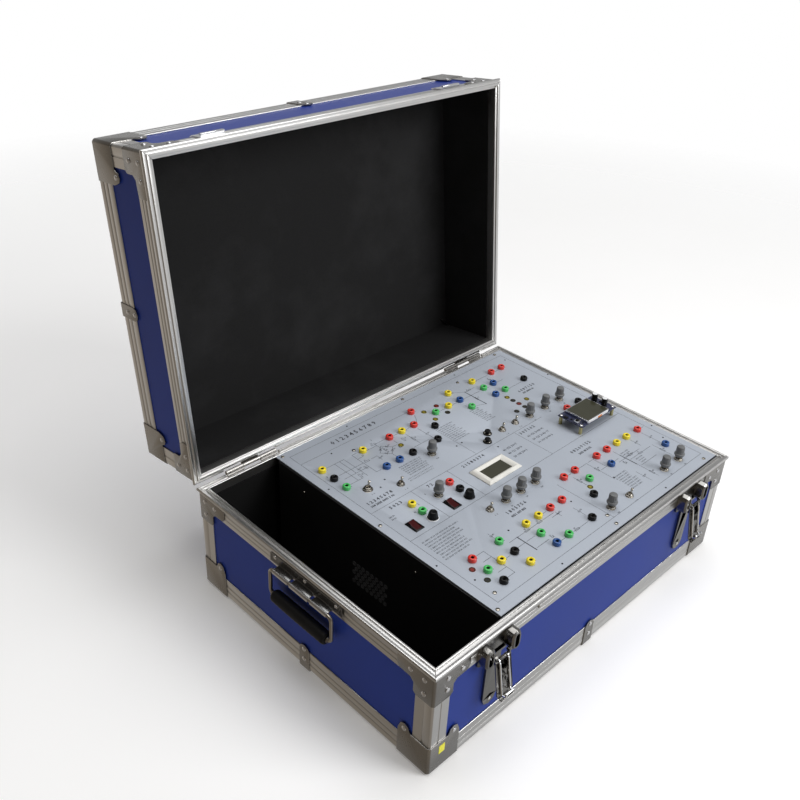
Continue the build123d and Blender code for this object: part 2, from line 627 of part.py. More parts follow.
def standoffs():
    """Hexagon standoffs between the panel and the small display board."""
    (x0, x1), (y0, y1) = DISPLAY_X, DISPLAY_Y
    places = [(x, y) for x in (x0 + 3.5, x1 - 3.5) for y in (y0 + 4, y1 - 4)]
    return [polygon_z(x, y, 3.0, 6, PANEL_TOP, DISPLAY_Z) for x, y in places]


def pot_knob(x, y):
    """Grey knob with a flared skirt, on its spindle."""
    low = PANEL_TOP + 6.8
    skirt = taper_z(x, y, 7.5, 6.6, 10, low, low + 3.4)
    cap = taper_z(x, y, 6.3, 5.7, 10, low + 3.4, low + 15.6)
    return skirt + cap + polygon_z(x, y, 2.8, 6, PANEL_TOP + 0.8, low)


TOGGLE_PIVOT = PANEL_TOP + 1.6
TOGGLE_TILT = 10.0


def toggle_lever(x, y, length):
    """Bat lever of a toggle switch, resting tilted towards -Y, on its pivot pin."""
    z = TOGGLE_PIVOT
    neck = polygon_z(x, y, 1.1, 6, z, z + 2)
    bat = taper_z(x, y, 1.1, 1.7, 6, z + 2, z + length - 1.0)
    tip = taper_z(x, y, 1.7, 1.1, 6, z + length - 1.0, z + length)
    lever = neck + bat + tip + rod_x(y, z + 0.3, 1.0, x - 1.6, x + 1.6, sides=4)
    return Pos(0, y, z) * Rot(TOGGLE_TILT, 0, 0) * Pos(0, -y, -z) * lever


ROCKER_TILT = 12.0
ROCKER_PIVOT = PANEL_TOP - 1.0


def rocker_cap(x, y):
    """Red rocker with two sloping faces, resting with its -Y end down."""
    z = ROCKER_PIVOT
    profile = [(y - 8.0, z + 2.0), (y - 8.0, z + 4.2), (y, z + 2.8), (y + 8.0, z + 4.2),
               (y + 8.0, z + 2.0), (y + 3, z - 3.0), (y - 3, z - 3.0)]
    cap = along_x(profile, x - 4.9, x + 4.9)
    return Pos(0, y, z) * Rot(ROCKER_TILT, 0, 0) * Pos(0, -y, -z) * cap


def rocker_bezel(x, y):
    """Rocker switch housing with its raised frame and contact box."""
    frame = block((x - 7.5, x + 7.5), (y - 10.5, y + 10.5), (PANEL_TOP, PANEL_TOP + 2))
    frame = chamfer(frame.edges().group_by(Axis.Z)[-1], 0.9)
    body = block((x - 6.4, x + 6.4), (y - 9.4, y + 9.4), (PANEL_TOP - 14, PANEL_TOP + 0.5))
    well = block((x - 5.3, x + 5.3), (y - 8.8, y + 8.8), (PANEL_TOP - 8, PANEL_TOP + 3))
    return frame + body - well


def fuse_holder(x, y):
    """Fuse holder flange and tube, bored for the screw cap's stem."""
    flange = polygon_z(x, y, 7.6, 10, PANEL_TOP, PANEL_TOP + 1.6)
    tube = polygon_z(x, y, 5.3, 8, PANEL_TOP - 16, PANEL_TOP)
    return flange + tube - polygon_z(x, y, clear(3.6, 8), 8, PANEL_TOP - 14, PANEL_TOP + 3)


def fuse_cap(x, y):
    """Conical screw cap with a cross slot and a stem into the holder."""
    low = PANEL_TOP + 1.9
    cap = taper_z(x, y, 7.0, 5.0, 10, low, low + 9)
    cap -= block((x - 6, x + 6), (y - 0.8, y + 0.8), (low + 7.6, low + 10))
    return cap + polygon_z(x, y, 3.4, 8, PANEL_TOP - 12, low)


def button_ring(x, y):
    """Black ring and silver bush of a push button."""
    ring = polygon_z(x, y, 6.5, 10, PANEL_TOP, PANEL_TOP + 1.4)
    bush = polygon_z(x, y, 5.2, 8, PANEL_TOP + 1.4, PANEL_TOP + 3.2)
    tube = polygon_z(x, y, 5.2, 8, PANEL_TOP - 12, PANEL_TOP)
    return ring + bush + tube - polygon_z(x, y, clear(3.2, 8), 8, PANEL_TOP - 9, PANEL_TOP + 4)


def push_button(x, y):
    return polygon_z(x, y, 3.0, 8, PANEL_TOP - 5, PANEL_TOP + 6.0)


def meter_bezel():
    """Sloped frame of the panel meter with its housing below the panel."""
    (w, d), (ww, wd), (x, y) = METER_SIZE, METER_WINDOW, METER
    frame = loft([Pos(x, y, PANEL_TOP) * Rectangle(w, d), Pos(x, y, PANEL_TOP + 1.2) * Rectangle(w, d),
                  Pos(x, y, PANEL_TOP + 4.2) * Rectangle(w - 7, d - 7)], ruled=True)
    slope = loft([Pos(x, y, PANEL_TOP + 1.6) * Rectangle(ww, wd),
                  Pos(x, y, PANEL_TOP + 4.21) * Rectangle(ww + 9, wd + 7)], ruled=True)
    body = block((x - w / 2 + 4.2, x + w / 2 - 4.2), (y - d / 2 + 3.2, y + d / 2 - 3.2),
                 (PANEL_TOP - 16, PANEL_TOP + 0.5))
    seat = block((x - ww / 2, x + ww / 2), (y - wd / 2, y + wd / 2), (PANEL_TOP - 1, PANEL_TOP + 2))
    return frame + body - slope - seat


def screens():
    """Windows of the panel meter and of the small display board."""
    (ww, wd), (x, y) = METER_WINDOW, METER
    meter = block((x - ww / 2 + 0.05, x + ww / 2 - 0.05), (y - wd / 2 + 0.05, y + wd / 2 - 0.05),
                  (PANEL_TOP - 0.9, PANEL_TOP + 1.2))
    base = DISPLAY_Z + 1.6
    shown = block(SCREEN_X, SCREEN_Y, (base, base + 4.4))
    shown = chamfer(shown.edges().group_by(Axis.Z)[-1], 0.6)
    return [meter, shown]


def display_board():
    """Small circuit board with two capacitors and a button housing."""
    z0, z1 = DISPLAY_Z, DISPLAY_Z + 1.6
    board = block(DISPLAY_X, DISPLAY_Y, (z0, z1))
    for y in (-12, -30):
        board += polygon_z(260, y, 4.5, 10, z1, z1 + 14)
    x, y = DISPLAY_BUTTON
    housing = block((x - 3.2, x + 3.2), (y - 3.2, y + 3.2), (z1, z1 + 3.4))
    board += housing - polygon_z(x, y, clear(1.8, 8), 8, z1 + 0.4, z1 + 4)
    return board


def display_button():
    x, y = DISPLAY_BUTTON
    z1 = DISPLAY_Z + 1.6
    return polygon_z(x, y, 1.6, 8, z1 + 1.8, z1 + 5.2)


def main_board():
    """Logic board hung under the panel on six posts, with rows of chips."""
    z0 = PANEL_TOP - 24
    board = block((-170, 280), (-185, 185), (z0, z0 + 1.6))
    posts = [(-160, -178), (55, -181), (270, -178), (-160, 178), (56, 181), (270, 178)]
    for x, y in posts:
        board += polygon_z(x, y, 3, 6, z0 + 1.6, PANEL_TOP - PANEL_T)
    for row in range(2):
        for k in range(4):
            x, y = -110 + k * 95, -90 + row * 150
            board += block((x - 10, x + 10), (y - 3.5, y + 3.5), (z0 - 4.5, z0))
    return board


def transformer():
    """Laminated core with its winding, on the tray's floor."""
    x, y, z = 90, 110, WALL_IN + 0.2 + BOX_T
    core = block((x - 38, x + 38), (y - 18, y + 18), (z, z + 64))
    coil = block((x - 22, x + 22), (y - 30, y + 30), (z + 12, z + 52))
    feet = block((x - 52, x + 52), (y - 14, y + 14), (z, z + 3))
    return core + chamfer(coil.edges().filter_by(Axis.Z), 6) + feet


def mains_inlet():
    """Three-pin mains inlet in the back wall, its flange on the board."""
    back = CASE_D / 2 - BOARD_IN
    x, z = INLET_X, INLET_Z
    flange = block((x - 25, x + 25), (back, back + 2.5), (z - 13, z + 13))
    flange = chamfer(flange.edges().filter_by(Axis.Y), 4)
    w, h = INLET_CUT
    body = block((x - w / 2 + 0.4, x + w / 2 - 0.4), (back - 24, back + 0.5),
                 (z - h / 2 + 0.4, z + h / 2 - 0.4))
    well = block((x - 12, x + 12), (back - 12.5, back + 3), (z - 8.2, z + 8.2))
    inlet = flange + body - well
    for dx, dz in ((-7, -2), (7, -2), (0, 2)):
        inlet += block((x + dx - 1, x + dx + 1), (back - 13, back - 4), (z + dz - 2, z + dz + 2))
    return inlet


# ---------------------------------------------------------------- assembly
def build_base():
    back_cut = block((INLET_X - INLET_CUT[0] / 2, INLET_X + INLET_CUT[0] / 2),
                     (CASE_D / 2 - 20, CASE_D / 2),
                     (INLET_Z - INLET_CUT[1] / 2, INLET_Z + INLET_CUT[1] / 2))
    floor, front, back, left, right = boards(BASE_H)
    add("base_boards", [floor, front, back - back_cut, left, right])
    add("compartment_lining", lining(BASE_H, BOX_LEFT - 0.3))
    rim = hinge_notch(rim_bars(BASE_H, tongue=False))
    add("base_extrusions", edge_bars() + corner_posts(BASE_H) + rim)
    add("base_corner_fittings", fittings(BASE_H))
    for side in (-1, 1):
        add("base_hinge_leaves", [hinge_leaf(side, lid=False), hinge_pin(side)])
        add("latch_base_plates", latch_base(side * LATCH_X))
    left_plate = handle_plate()
    add("handle_plates", [left_plate, mirror_x(left_plate)])
    add("panel_box", panel_box())
    add("main_circuit_board", main_board())
    add("power_transformer", transformer())
    add("mains_inlet", mains_inlet())


def build_lid():
    lid = lambda shapes: [open_lid(shut_lid(s)) for s in shapes]
    add("lid_boards", lid(boards(LID_H)))
    inner_right = CASE_W / 2 - WALL_IN
    sheets = lining(LID_H, inner_right - LINING_T)
    right = block((inner_right - LINING_T, inner_right), (-(CASE_D / 2 - WALL_IN), CASE_D / 2 - WALL_IN),
                  (WALL_IN, LID_H - 14.2))
    add("lid_lining", lid(sheets + [right]))
    shut_rim = hinge_notch([shut_lid(b) for b in rim_bars(LID_H, tongue=True)])
    add("lid_extrusions", lid(edge_bars() + corner_posts(LID_H))
        + [open_lid(b) for b in shut_rim])
    add("lid_corner_fittings", lid(fittings(LID_H)))
    for side in (-1, 1):
        add("lid_hinge_leaves", open_lid(hinge_leaf(side, lid=True)))
        add("latch_strikes", open_lid(latch_strike(side * LATCH_X)))


def build_moving_hardware():
    for side, name in ((-1, "left"), (1, "right")):
        add(f"{name}_latch_lever", latch_lever(side * LATCH_X))
        add(f"{name}_latch_bail", latch_bail(side * LATCH_X))
    bail, grip = handle_bail(), handle_grip()
    add("left_handle_bail", bail)
    add("left_handle_grip", grip)
    add("right_handle_bail", mirror_x(bail))
    add("right_handle_grip", mirror_x(grip))


def build_controls():
    add("control_panel", control_panel())
    sockets = {"yellow": (YELLOW, FLUSH_YELLOW), "red": (RED, FLUSH_RED), "green": (GREEN, []),
               "blue": (BLUE, []), "black": (BLACK, FLUSH_BLACK)}
    for colour, (tall, flush) in sockets.items():
        for x, y in tall:
            add(f"{colour}_jacks", true_jack(x, y) if (x, y) in TRUE_SOCKETS else jack(x, y))
        for x, y in flush:
            add(f"{colour}_jacks", flush_socket(x, y))
    for k, (x, y) in enumerate(KNOBS, 1):
        add("control_bushings", pot_bush(x, y))
        add(f"pot_knob_{k}", pot_knob(x, y))
    for k, (x, y) in enumerate(TOGGLES, 1):
        large = k == 1
        add("control_bushings", toggle_bush(x, y, 7.0 if large else 5.6))
        add(f"toggle_lever_{k}", toggle_lever(x, y, 14.5 if large else 12.5))
    add("control_bushings", standoffs())
    for k, (x, y) in enumerate(ROCKERS, 1):
        add("switch_bezels", rocker_bezel(x, y))
        add(f"rocker_{k}", rocker_cap(x, y))
    for k, (x, y) in enumerate(FUSES, 1):
        add("switch_bezels", fuse_holder(x, y))
        add(f"fuse_cap_{k}", fuse_cap(x, y))
    for k, (x, y) in enumerate(BUTTONS, 1):
        add("switch_bezels", button_ring(x, y))
        add(f"push_button_{k}", push_button(x, y))
    add("meter_bezel", meter_bezel())
    add("lcd_screens", screens())
    add("display_board", display_board())
    add("display_button", display_button())


def main():
    os.makedirs("parts", exist_ok=True)
    build_base()
    build_lid()
    build_moving_hardware()
    build_controls()
    for node, solids in PIECES.items():
        export_step(Compound(children=solids) if len(solids) > 1 else solids[0], f"parts/{node}.step")
    print(len(PIECES), "nodes,", sum(len(s) for s in PIECES.values()), "solids")


main()
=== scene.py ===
"""Looks of the digital logic trainer: finishes, rounded fittings, controls and printed panel."""
import json
import math

import bmesh
import bpy
from mathutils import Matrix, Vector


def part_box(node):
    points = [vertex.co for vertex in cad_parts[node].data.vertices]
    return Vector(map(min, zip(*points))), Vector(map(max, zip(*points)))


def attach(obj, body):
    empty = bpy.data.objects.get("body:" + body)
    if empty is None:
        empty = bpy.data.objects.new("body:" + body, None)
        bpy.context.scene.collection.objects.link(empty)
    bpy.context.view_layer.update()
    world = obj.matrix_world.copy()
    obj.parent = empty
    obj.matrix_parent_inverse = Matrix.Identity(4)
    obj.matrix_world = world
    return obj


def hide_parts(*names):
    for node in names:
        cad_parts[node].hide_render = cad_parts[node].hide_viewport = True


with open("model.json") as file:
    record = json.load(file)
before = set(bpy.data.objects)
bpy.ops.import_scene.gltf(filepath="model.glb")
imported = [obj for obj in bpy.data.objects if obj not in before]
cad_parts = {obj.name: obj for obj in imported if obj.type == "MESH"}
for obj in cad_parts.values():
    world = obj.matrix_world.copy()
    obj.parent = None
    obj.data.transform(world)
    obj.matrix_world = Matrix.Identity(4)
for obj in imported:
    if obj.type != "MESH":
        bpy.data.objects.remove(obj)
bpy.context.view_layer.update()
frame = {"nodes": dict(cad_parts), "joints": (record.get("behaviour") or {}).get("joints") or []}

bl_info = {
    "name": "Digital Logic Trainer",
    "version": (1, 0, 0),
    "blender": (4, 5, 0),
    "location": "View3D > Sidebar > Trainer",
    "description": "Dresses the packed logic trainer with modelled pieces and finishes",
    "category": "Object",
}

MM = 0.001
PANEL_TOP = 0.162
CASE_W, CASE_D = 0.610, 0.434
BASE_H, LID_H, RIM_GAP = 0.162, 0.120, 0.0004
HINGE_Y, HINGE_Z = 0.2203, 0.1612
LID_OPEN = math.radians(96.3)
LATCH_X, LEVER_PIVOT, LEVER_REST = 0.206, (0.0105, 0.136), math.radians(10.4)
BAIL_PIVOT = (0.0103, 0.130)
HANDLE_Y, HANDLE_OUT, HANDLE_Z, HANDLE_DROP, HANDLE_SPAN = -0.005, 0.009, 0.1385, 0.0385, 0.114
TOGGLE_PIVOT, TOGGLE_TILT = 0.1636, math.radians(10)
# half width and depth inside which the base boards' faces get near-black painted shade
INSIDE_X, INSIDE_Y = 0.2965, 0.2085
FLOOR_FULL, FLOOR_END = 0.75, 2.4

# from the shut lid to the open one, and from the lid's own floor-down frame to its open place
OPENED = (Matrix.Translation((0, HINGE_Y, HINGE_Z)) @ Matrix.Rotation(-LID_OPEN, 4, "X")
          @ Matrix.Translation((0, -HINGE_Y, -HINGE_Z)))
LID_PLACE = (OPENED @ Matrix.Translation((0, 0, BASE_H + RIM_GAP + LID_H))
             @ Matrix.Rotation(math.pi, 4, "X"))
BASE_PLACE = Matrix.Identity(4)


# ------------------------------------------------------------------ modelling helpers
def clear_selection():
    if bpy.context.object and bpy.context.object.mode != "OBJECT":
        bpy.ops.object.mode_set(mode="OBJECT")
    bpy.ops.object.select_all(action="DESELECT")


def pick(*pieces):
    """Select these pieces alone, the last one active."""
    clear_selection()
    for piece in pieces:
        piece.select_set(True)
    bpy.context.view_layer.objects.active = pieces[-1]


class Editing:
    """Edit mode on one piece, with corners, edges or faces chosen by a test."""

    def __init__(self, piece, kind="FACE"):
        self.piece, self.kind = piece, kind

    def __enter__(self):
        pick(self.piece)
        bpy.ops.object.mode_set(mode="EDIT")
        bpy.ops.mesh.select_mode(type=self.kind)
        bpy.ops.mesh.select_all(action="SELECT")
        return self

    def choose(self, test):
        """Select what passes the test, and say how many did."""
        mesh = bmesh.from_edit_mesh(self.piece.data)
        mesh.normal_update()
        parts = {"VERT": mesh.verts, "EDGE": mesh.edges, "FACE": mesh.faces}
        for group in (mesh.faces, mesh.edges, mesh.verts):
            for part in group:
                part.select_set(False)
        chosen = [part for part in parts[self.kind] if test(part)]
        for part in chosen:
            part.select_set(True)
        mesh.select_flush_mode()
        bmesh.update_edit_mesh(self.piece.data)
        return len(chosen)

    def __exit__(self, *error):
        bpy.ops.object.mode_set(mode="OBJECT")


def cube(name, low, high):
    """A box between two corners, as a start for shaping."""
    clear_selection()
    size = [b - a for a, b in zip(low, high)]
    middle = [(a + b) / 2 for a, b in zip(low, high)]
    bpy.ops.mesh.primitive_cube_add(size=1, location=middle)
    piece = bpy.context.object
    piece.name, piece.scale = name, size
    bpy.ops.object.transform_apply(location=True, rotation=False, scale=True)
    return piece


def round_edges(piece, width, segments=2, angle=30):
    """Bevel every edge that is sharper than the angle."""
    pick(piece)
    bevel = piece.modifiers.new("edges", "BEVEL")
    bevel.width, bevel.segments = width, segments
    bevel.limit_method, bevel.angle_limit = "ANGLE", math.radians(angle)
    bevel.use_clamp_overlap = False
    bpy.ops.object.modifier_apply(modifier=bevel.name)


def place_mesh(piece, matrix):
    """Move a piece's mesh, and turn it right side out again after a mirror."""
    piece.data.transform(matrix)
    if matrix.determinant() < 0:
        piece.data.flip_normals()
    return piece


def mm(text):
    """Points in metres from text in millimetres, such as "5.3,0 5.6,0.3"."""
    return [tuple(float(value) / 1000 for value in point.split(",")) for point in text.split()]


def turned(name, profile, segments=32, at=(0, 0, 0)):
    """A turned piece: a disc drawn out ring by ring along its (radius, height) profile."""
    clear_selection()
    x, y, z = at
    radius, height = profile[0]
    bpy.ops.mesh.primitive_circle_add(vertices=segments, radius=radius, fill_type="NGON",
                                      location=(x, y, z + height))
    piece = bpy.context.object
    piece.name = name
    bpy.ops.object.transform_apply(location=True, rotation=False, scale=False)
    with Editing(piece):
        for next_radius, next_height in profile[1:]:
            rise = {"value": (0, 0, next_height - height)}
            bpy.ops.mesh.extrude_region_move(TRANSFORM_OT_translate=rise)
            if next_radius != radius:
                k = next_radius / radius
                bpy.ops.transform.resize(value=(k, k, 1), center_override=(x, y, z + next_height))
            radius, height = next_radius, next_height
        bpy.ops.mesh.select_all(action="SELECT")
        bpy.ops.mesh.normals_make_consistent(inside=False)
    return piece


def bent_wire(name, start, heading, route, radius, sides=16):
    """A round wire: a disc carried along straight runs and spun round its bends."""
    clear_selection()
    here, heading = Vector(start), Vector(heading).normalized()
    bpy.ops.mesh.primitive_circle_add(vertices=sides, radius=radius, fill_type="NGON", location=here)
    piece = bpy.context.object
    piece.name = name
    piece.rotation_mode = "QUATERNION"
    piece.rotation_quaternion = heading.to_track_quat("Z", "Y")
    bpy.ops.object.transform_apply(location=True, rotation=True, scale=False)
    with Editing(piece):
        for leg in route:
            if leg[0] == "run":
                step = heading * leg[1]
                bpy.ops.mesh.extrude_region_move(TRANSFORM_OT_translate={"value": step})
                here = here + step
            else:
                _, degrees, bend, axis = leg
                axis = Vector(axis)
                turn = math.radians(degrees)
                centre = here + axis.cross(heading) * math.copysign(bend, degrees)
                steps = max(3, int(abs(degrees) / 11))
                bpy.ops.mesh.spin(steps=steps, angle=-turn, center=centre, axis=axis)
                spin = Matrix.Rotation(turn, 3, axis)
                here, heading = centre + spin @ (here - centre), spin @ heading
        bpy.ops.mesh.select_all(action="SELECT")
        bpy.ops.mesh.remove_doubles(threshold=1e-6)
        bpy.ops.mesh.normals_make_consistent(inside=False)
    return piece


def copy_of(piece, name, matrix):
    """A copy with its own mesh, moved to its place."""
    twin = bpy.data.objects.new(name, piece.data.copy())
    bpy.context.collection.objects.link(twin)
    return place_mesh(twin, matrix)


def join(name, pieces):
    """Several meshes as one piece."""
    pick(*pieces)
    if len(pieces) > 1:
        bpy.ops.object.join()
    whole = bpy.context.object
    whole.name = name
    return whole


def repeat(name, model, matrices):
    """One model copied to many places and joined; the model itself goes."""
    copies = [copy_of(model, name, matrix) for matrix in matrices]
    bpy.data.objects.remove(model)
    return join(name, copies)


def cut_away(piece, tool):
    """Take one mesh out of another; the tool itself goes."""
    pick(piece)
    cut = piece.modifiers.new("cut", "BOOLEAN")
    cut.operation, cut.object, cut.solver = "DIFFERENCE", tool, "EXACT"
    bpy.ops.object.modifier_apply(modifier=cut.name)
    bpy.data.objects.remove(tool)


def sink_top(piece, *insets, depth):
    """Inset a piece's top face step by step, and press what is left down."""
    with Editing(piece) as editing:
        editing.choose(lambda face: face.normal.z > 0.9)
        for inset in insets:
            bpy.ops.mesh.inset(thickness=inset, depth=0)
        bpy.ops.mesh.extrude_region_move(TRANSFORM_OT_translate={"value": (0, 0, -depth)})


def move(x, y, z=0.0):
    return Matrix.Translation((x, y, z))


def on_panel(places, unit=1.0):
    """Matrices of places (x, y) on the control panel's top."""
    return [move(x * unit, y * unit, PANEL_TOP) for x, y in places]


def scaled(x, y, z):
    return Matrix.Diagonal((x, y, z, 1))


def rotated(degrees, axis):
    return Matrix.Rotation(math.radians(degrees), 4, axis)


def hand_over(piece, look, node=None, body="base", angle=26):
    """Shade a finished piece, give it its finish and tell the frame what it stands for."""
    pick(piece)
    bpy.ops.object.shade_smooth_by_angle(angle=math.radians(angle))
    piece.data.materials.clear()
    piece.data.materials.append(finish(look))
    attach(piece, body)
    if node:
        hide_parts(node)


def welded(node, name, back=None):
    """A copy of a CAD node's mesh, its loose triangles welded into flat faces."""
    piece = bpy.data.objects.new(name, frame["nodes"][node].data.copy())
    bpy.context.collection.objects.link(piece)
    piece.data.materials.clear()
    if back is not None:
        place_mesh(piece, back.inverted())
    with Editing(piece, "VERT"):
        bpy.ops.mesh.remove_doubles(threshold=4e-6)
        bpy.ops.mesh.dissolve_limited(angle_limit=math.radians(0.8))
    return piece


def dress(node, name, look, soft=0.0, sharp=0.0003, body="base", place=None, test=None):
    """Hand over a CAD node's shape with its flats rounded off and its sharp edges broken."""
    piece = welded(node, name, place)
    if soft:
        with Editing(piece, "EDGE") as editing:
            def blunt(edge):
                bend = edge.calc_face_angle(0) if edge.is_manifold else 0
                return math.radians(20) < bend < math.radians(65) and (test is None or test(edge))
            if editing.choose(blunt):
                bpy.ops.mesh.bevel(offset=soft, segments=3, clamp_overlap=True)
    if sharp:
        round_edges(piece, sharp, 2, 62 if soft else 35)
    if place is not None:
        place_mesh(piece, place)
    hand_over(piece, look, node, body)


def loose_boxes(node):
    """(low, high) corners of each separate solid in a CAD node."""
    mesh = bmesh.new()
    mesh.from_mesh(frame["nodes"][node].data)
    bmesh.ops.remove_doubles(mesh, verts=mesh.verts, dist=4e-6)
    boxes, left = [], set(mesh.verts)
    while left:
        reached, front = set(), [left.pop()]
        while front:
            corner = front.pop()
            reached.add(corner)
            for edge in corner.link_edges:
                other = edge.other_vert(corner)
                if other in left:
                    left.discard(other)
                    front.append(other)
        places = [corner.co for corner in reached]
        boxes.append((Vector([min(p[k] for p in places) for k in range(3)]),
                      Vector([max(p[k] for p in places) for k in range(3)])))
    mesh.free()
    return sorted(boxes, key=lambda box: (round(box[0].x, 4), round(box[0].y, 4)))


def middles(node, test):
    """Middle (x, y) of each separate solid of a node that passes the test."""
    return [((low.x + high.x) / 2, (low.y + high.y) / 2)
            for low, high in loose_boxes(node) if test(low, high)]


def middle(node):
    low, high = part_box(node)
    return (low[0] + high[0]) / 2, (low[1] + high[1]) / 2


# ------------------------------------------------------------------ finishes
class Signal:
    """A socket in a material, so that shader maths reads as plain Python."""

    def __init__(self, sheet, socket):
        self.sheet, self.socket = sheet, socket

    def maths(self, operation, *values):
        return self.sheet.node("ShaderNodeMath", {"operation": operation}, dict(enumerate(values)))

    def __add__(self, other):
        return self.maths("ADD", self, other)

    def __sub__(self, other):
        return self.maths("SUBTRACT", self, other)

    def __rsub__(self, other):
        return self.maths("SUBTRACT", other, self)

    def __mul__(self, other):
        return self.maths("MULTIPLY", self, other)

    def __truediv__(self, other):
        return self.maths("DIVIDE", self, other)

    def above(self, level):
        return self.maths("GREATER_THAN", self, level)

    __radd__ = __add__
    __rmul__ = __mul__


class Sheet:
    """A node tree that takes new nodes with their settings and the values of their sockets."""

    def __init__(self, tree):
        self.tree = tree

    def node(self, kind, settings, values, output=0):
        """Add a node: its settings first, then the values or links of its sockets."""
        node = self.tree.nodes.new(kind)
        for setting, value in settings.items():
            if setting == "stops":
                ramp = node.color_ramp.elements
                while len(ramp) < len(value):
                    ramp.new(0.5)
                for stop, (position, level) in zip(ramp, value):
                    stop.position, stop.color = position, (level, level, level, 1)
            else:
                setattr(node, setting, value)
        for socket, value in values.items():
            self.connect(node.inputs[socket], value)
        return Signal(self, node.outputs[output])

    def connect(self, socket, value):
        if isinstance(value, Signal):
            self.tree.links.new(value.socket, socket)
        elif isinstance(value, tuple) and len(value) == 3 and socket.type == "RGBA":
            socket.default_value = (*value, 1)
        else:
            socket.default_value = value

    def ramp(self, signal, *stops):
        return self.node("ShaderNodeValToRGB", {"stops": stops}, {"Fac": signal})

    def blend(self, factor, first, second):
        """A mix of two colours."""
        return self.node("ShaderNodeMix", {"data_type": "RGBA"}, {0: factor, 6: first, 7: second}, 2)


class Finish(Sheet):
    """One procedural material: a Principled shader and the patterns that feed it."""

    def __init__(self, name, **fixed):
        self.material = bpy.data.materials.new(name)
        self.material.use_nodes = True
        super().__init__(self.material.node_tree)
        self.shader = self.tree.nodes["Principled BSDF"]
        for socket, value in fixed.items():
            self.feed(socket.replace("_", " "), value)
        self.place = self.node("ShaderNodeTexCoord", {}, {}, "Object")

    def feed(self, socket, value):
        self.connect(self.shader.inputs[socket], value)

    def stretched(self, *scales):
        """The object's own coordinates, scaled."""
        return self.node("ShaderNodeVectorMath", {"operation": "MULTIPLY"}, {0: self.place, 1: scales})

    def noise(self, scale, detail=3.0, stretch=(1, 1, 1), rough=0.55):
        """Noise from 0 to 1 on the object's own coordinates, in cycles per metre."""
        spot = self.stretched(*(scale * s for s in stretch))
        return self.node("ShaderNodeTexNoise", {},
                         {"Vector": spot, "Scale": 1.0, "Detail": detail, "Roughness": rough}, "Fac")

    def cells(self, scale, output="Distance"):
        spot = self.stretched(scale, scale, scale)
        return self.node("ShaderNodeTexVoronoi", {}, {"Vector": spot, "Scale": 1.0}, output)

    def tone(self, pattern, colour, darkest, lightest):
        """Base colour that a pattern takes from a darker to a lighter shade."""
        self.feed("Base Color", self.blend(pattern, shade(colour, darkest), shade(colour, lightest)))

    def bump(self, height, distance, strength=1.0):
        values = {"Height": height, "Distance": distance, "Strength": strength}
        self.feed("Normal", self.node("ShaderNodeBump", {}, values, "Normal"))


def shade(colour, k):
    return tuple(min(1.0, c * k) for c in colour)


def moulded(name, colour, rough, tone=0.12, grain=1800, depth=0.00003, coat=0.0, gloss=0.5):
    """Moulded plastic: faint cloudiness, a fine grain and softly varying gloss."""
    finish = Finish(name, Coat_Weight=coat, Coat_Roughness=0.12, Specular_IOR_Level=gloss)
    cloud = finish.noise(60, 2)
    fine = finish.noise(grain, 2)
    finish.tone(cloud, colour, 1 - tone, 1 + tone)
    finish.feed("Roughness", rough + 0.12 * (cloud - 0.5) + 0.08 * (fine - 0.5))
    finish.bump(fine, depth)
    return finish.material


def shaded_moulded(name, colour, rough):
    """The same plastic in a third of the colour, as it looks inside a test socket."""
    return moulded(name, shade(colour, 0.3), rough)


def plated(name, colour, rough, scratch=0.10, grain=500, tone=0.10, depth=0.00002):
    """Bare or plated metal with fine scratches and faint stains."""
    finish = Finish(name, Metallic=1.0)
    stain = finish.noise(38, 3)
    lines = finish.noise(grain, 4, rough=0.65)
    finish.tone(stain, colour, 1 - tone, 1 + tone)
    finish.feed("Roughness", rough + scratch * (lines - 0.5) + scratch * (stain - 0.5))
    finish.bump(lines, depth)
    return finish.material


def laminate(name, colour, lined=False):
    """Glossy laminate over plywood: orange peel and hairline scratches; black on the inside."""
    finish = Finish(name, Specular_IOR_Level=0.08)
    peel = finish.noise(420, 2)
    cloud = finish.noise(9, 3)
    hairs = finish.ramp(finish.noise(240, 3, (1, 0.04, 1), 0.7), (0.0, 0), (0.62, 0), (0.68, 1))
    tinted = finish.blend(cloud, shade(colour, 0.86), shade(colour, 1.14))
    look = finish.blend(0.02 * hairs, tinted, (0.35, 0.38, 0.55))
    if lined:
        # painted shade: the boards' inside faces go near black, as the gap beside the lining shows them in
        # shade
        across, deep = (finish.node("ShaderNodeSeparateXYZ", {}, {0: finish.place}, k) for k in (0, 1))
        inside_shade = (INSIDE_X - across.maths("ABSOLUTE", across)).above(0.0)
        inside_shade = inside_shade * (INSIDE_Y - deep.maths("ABSOLUTE", deep)).above(0.0)
        look = finish.blend(inside_shade, look, (0.004, 0.004, 0.0045))
    finish.feed("Base Color", look)
    finish.feed("Roughness", 0.3 + 0.14 * (cloud - 0.4) + 0.15 * hairs)
    finish.bump(peel, 0.00004, 0.4)
    return finish.material


def lining_cloth(name, colour, smudge):
    """Matt black lining: fine leather grain with cloudy wiped marks."""
    finish = Finish(name, Specular_IOR_Level=0.25)
    wiped = finish.ramp(finish.noise(7, 5, rough=0.62), (0.0, 0), (0.48, 0), (0.72, 1))
    grain = finish.cells(900)
    finish.feed("Base Color", finish.blend(wiped, colour, smudge))
    finish.feed("Roughness", 0.72 + 0.2 * grain)
    finish.bump(grain, 0.00008, 0.6)
    return finish.material


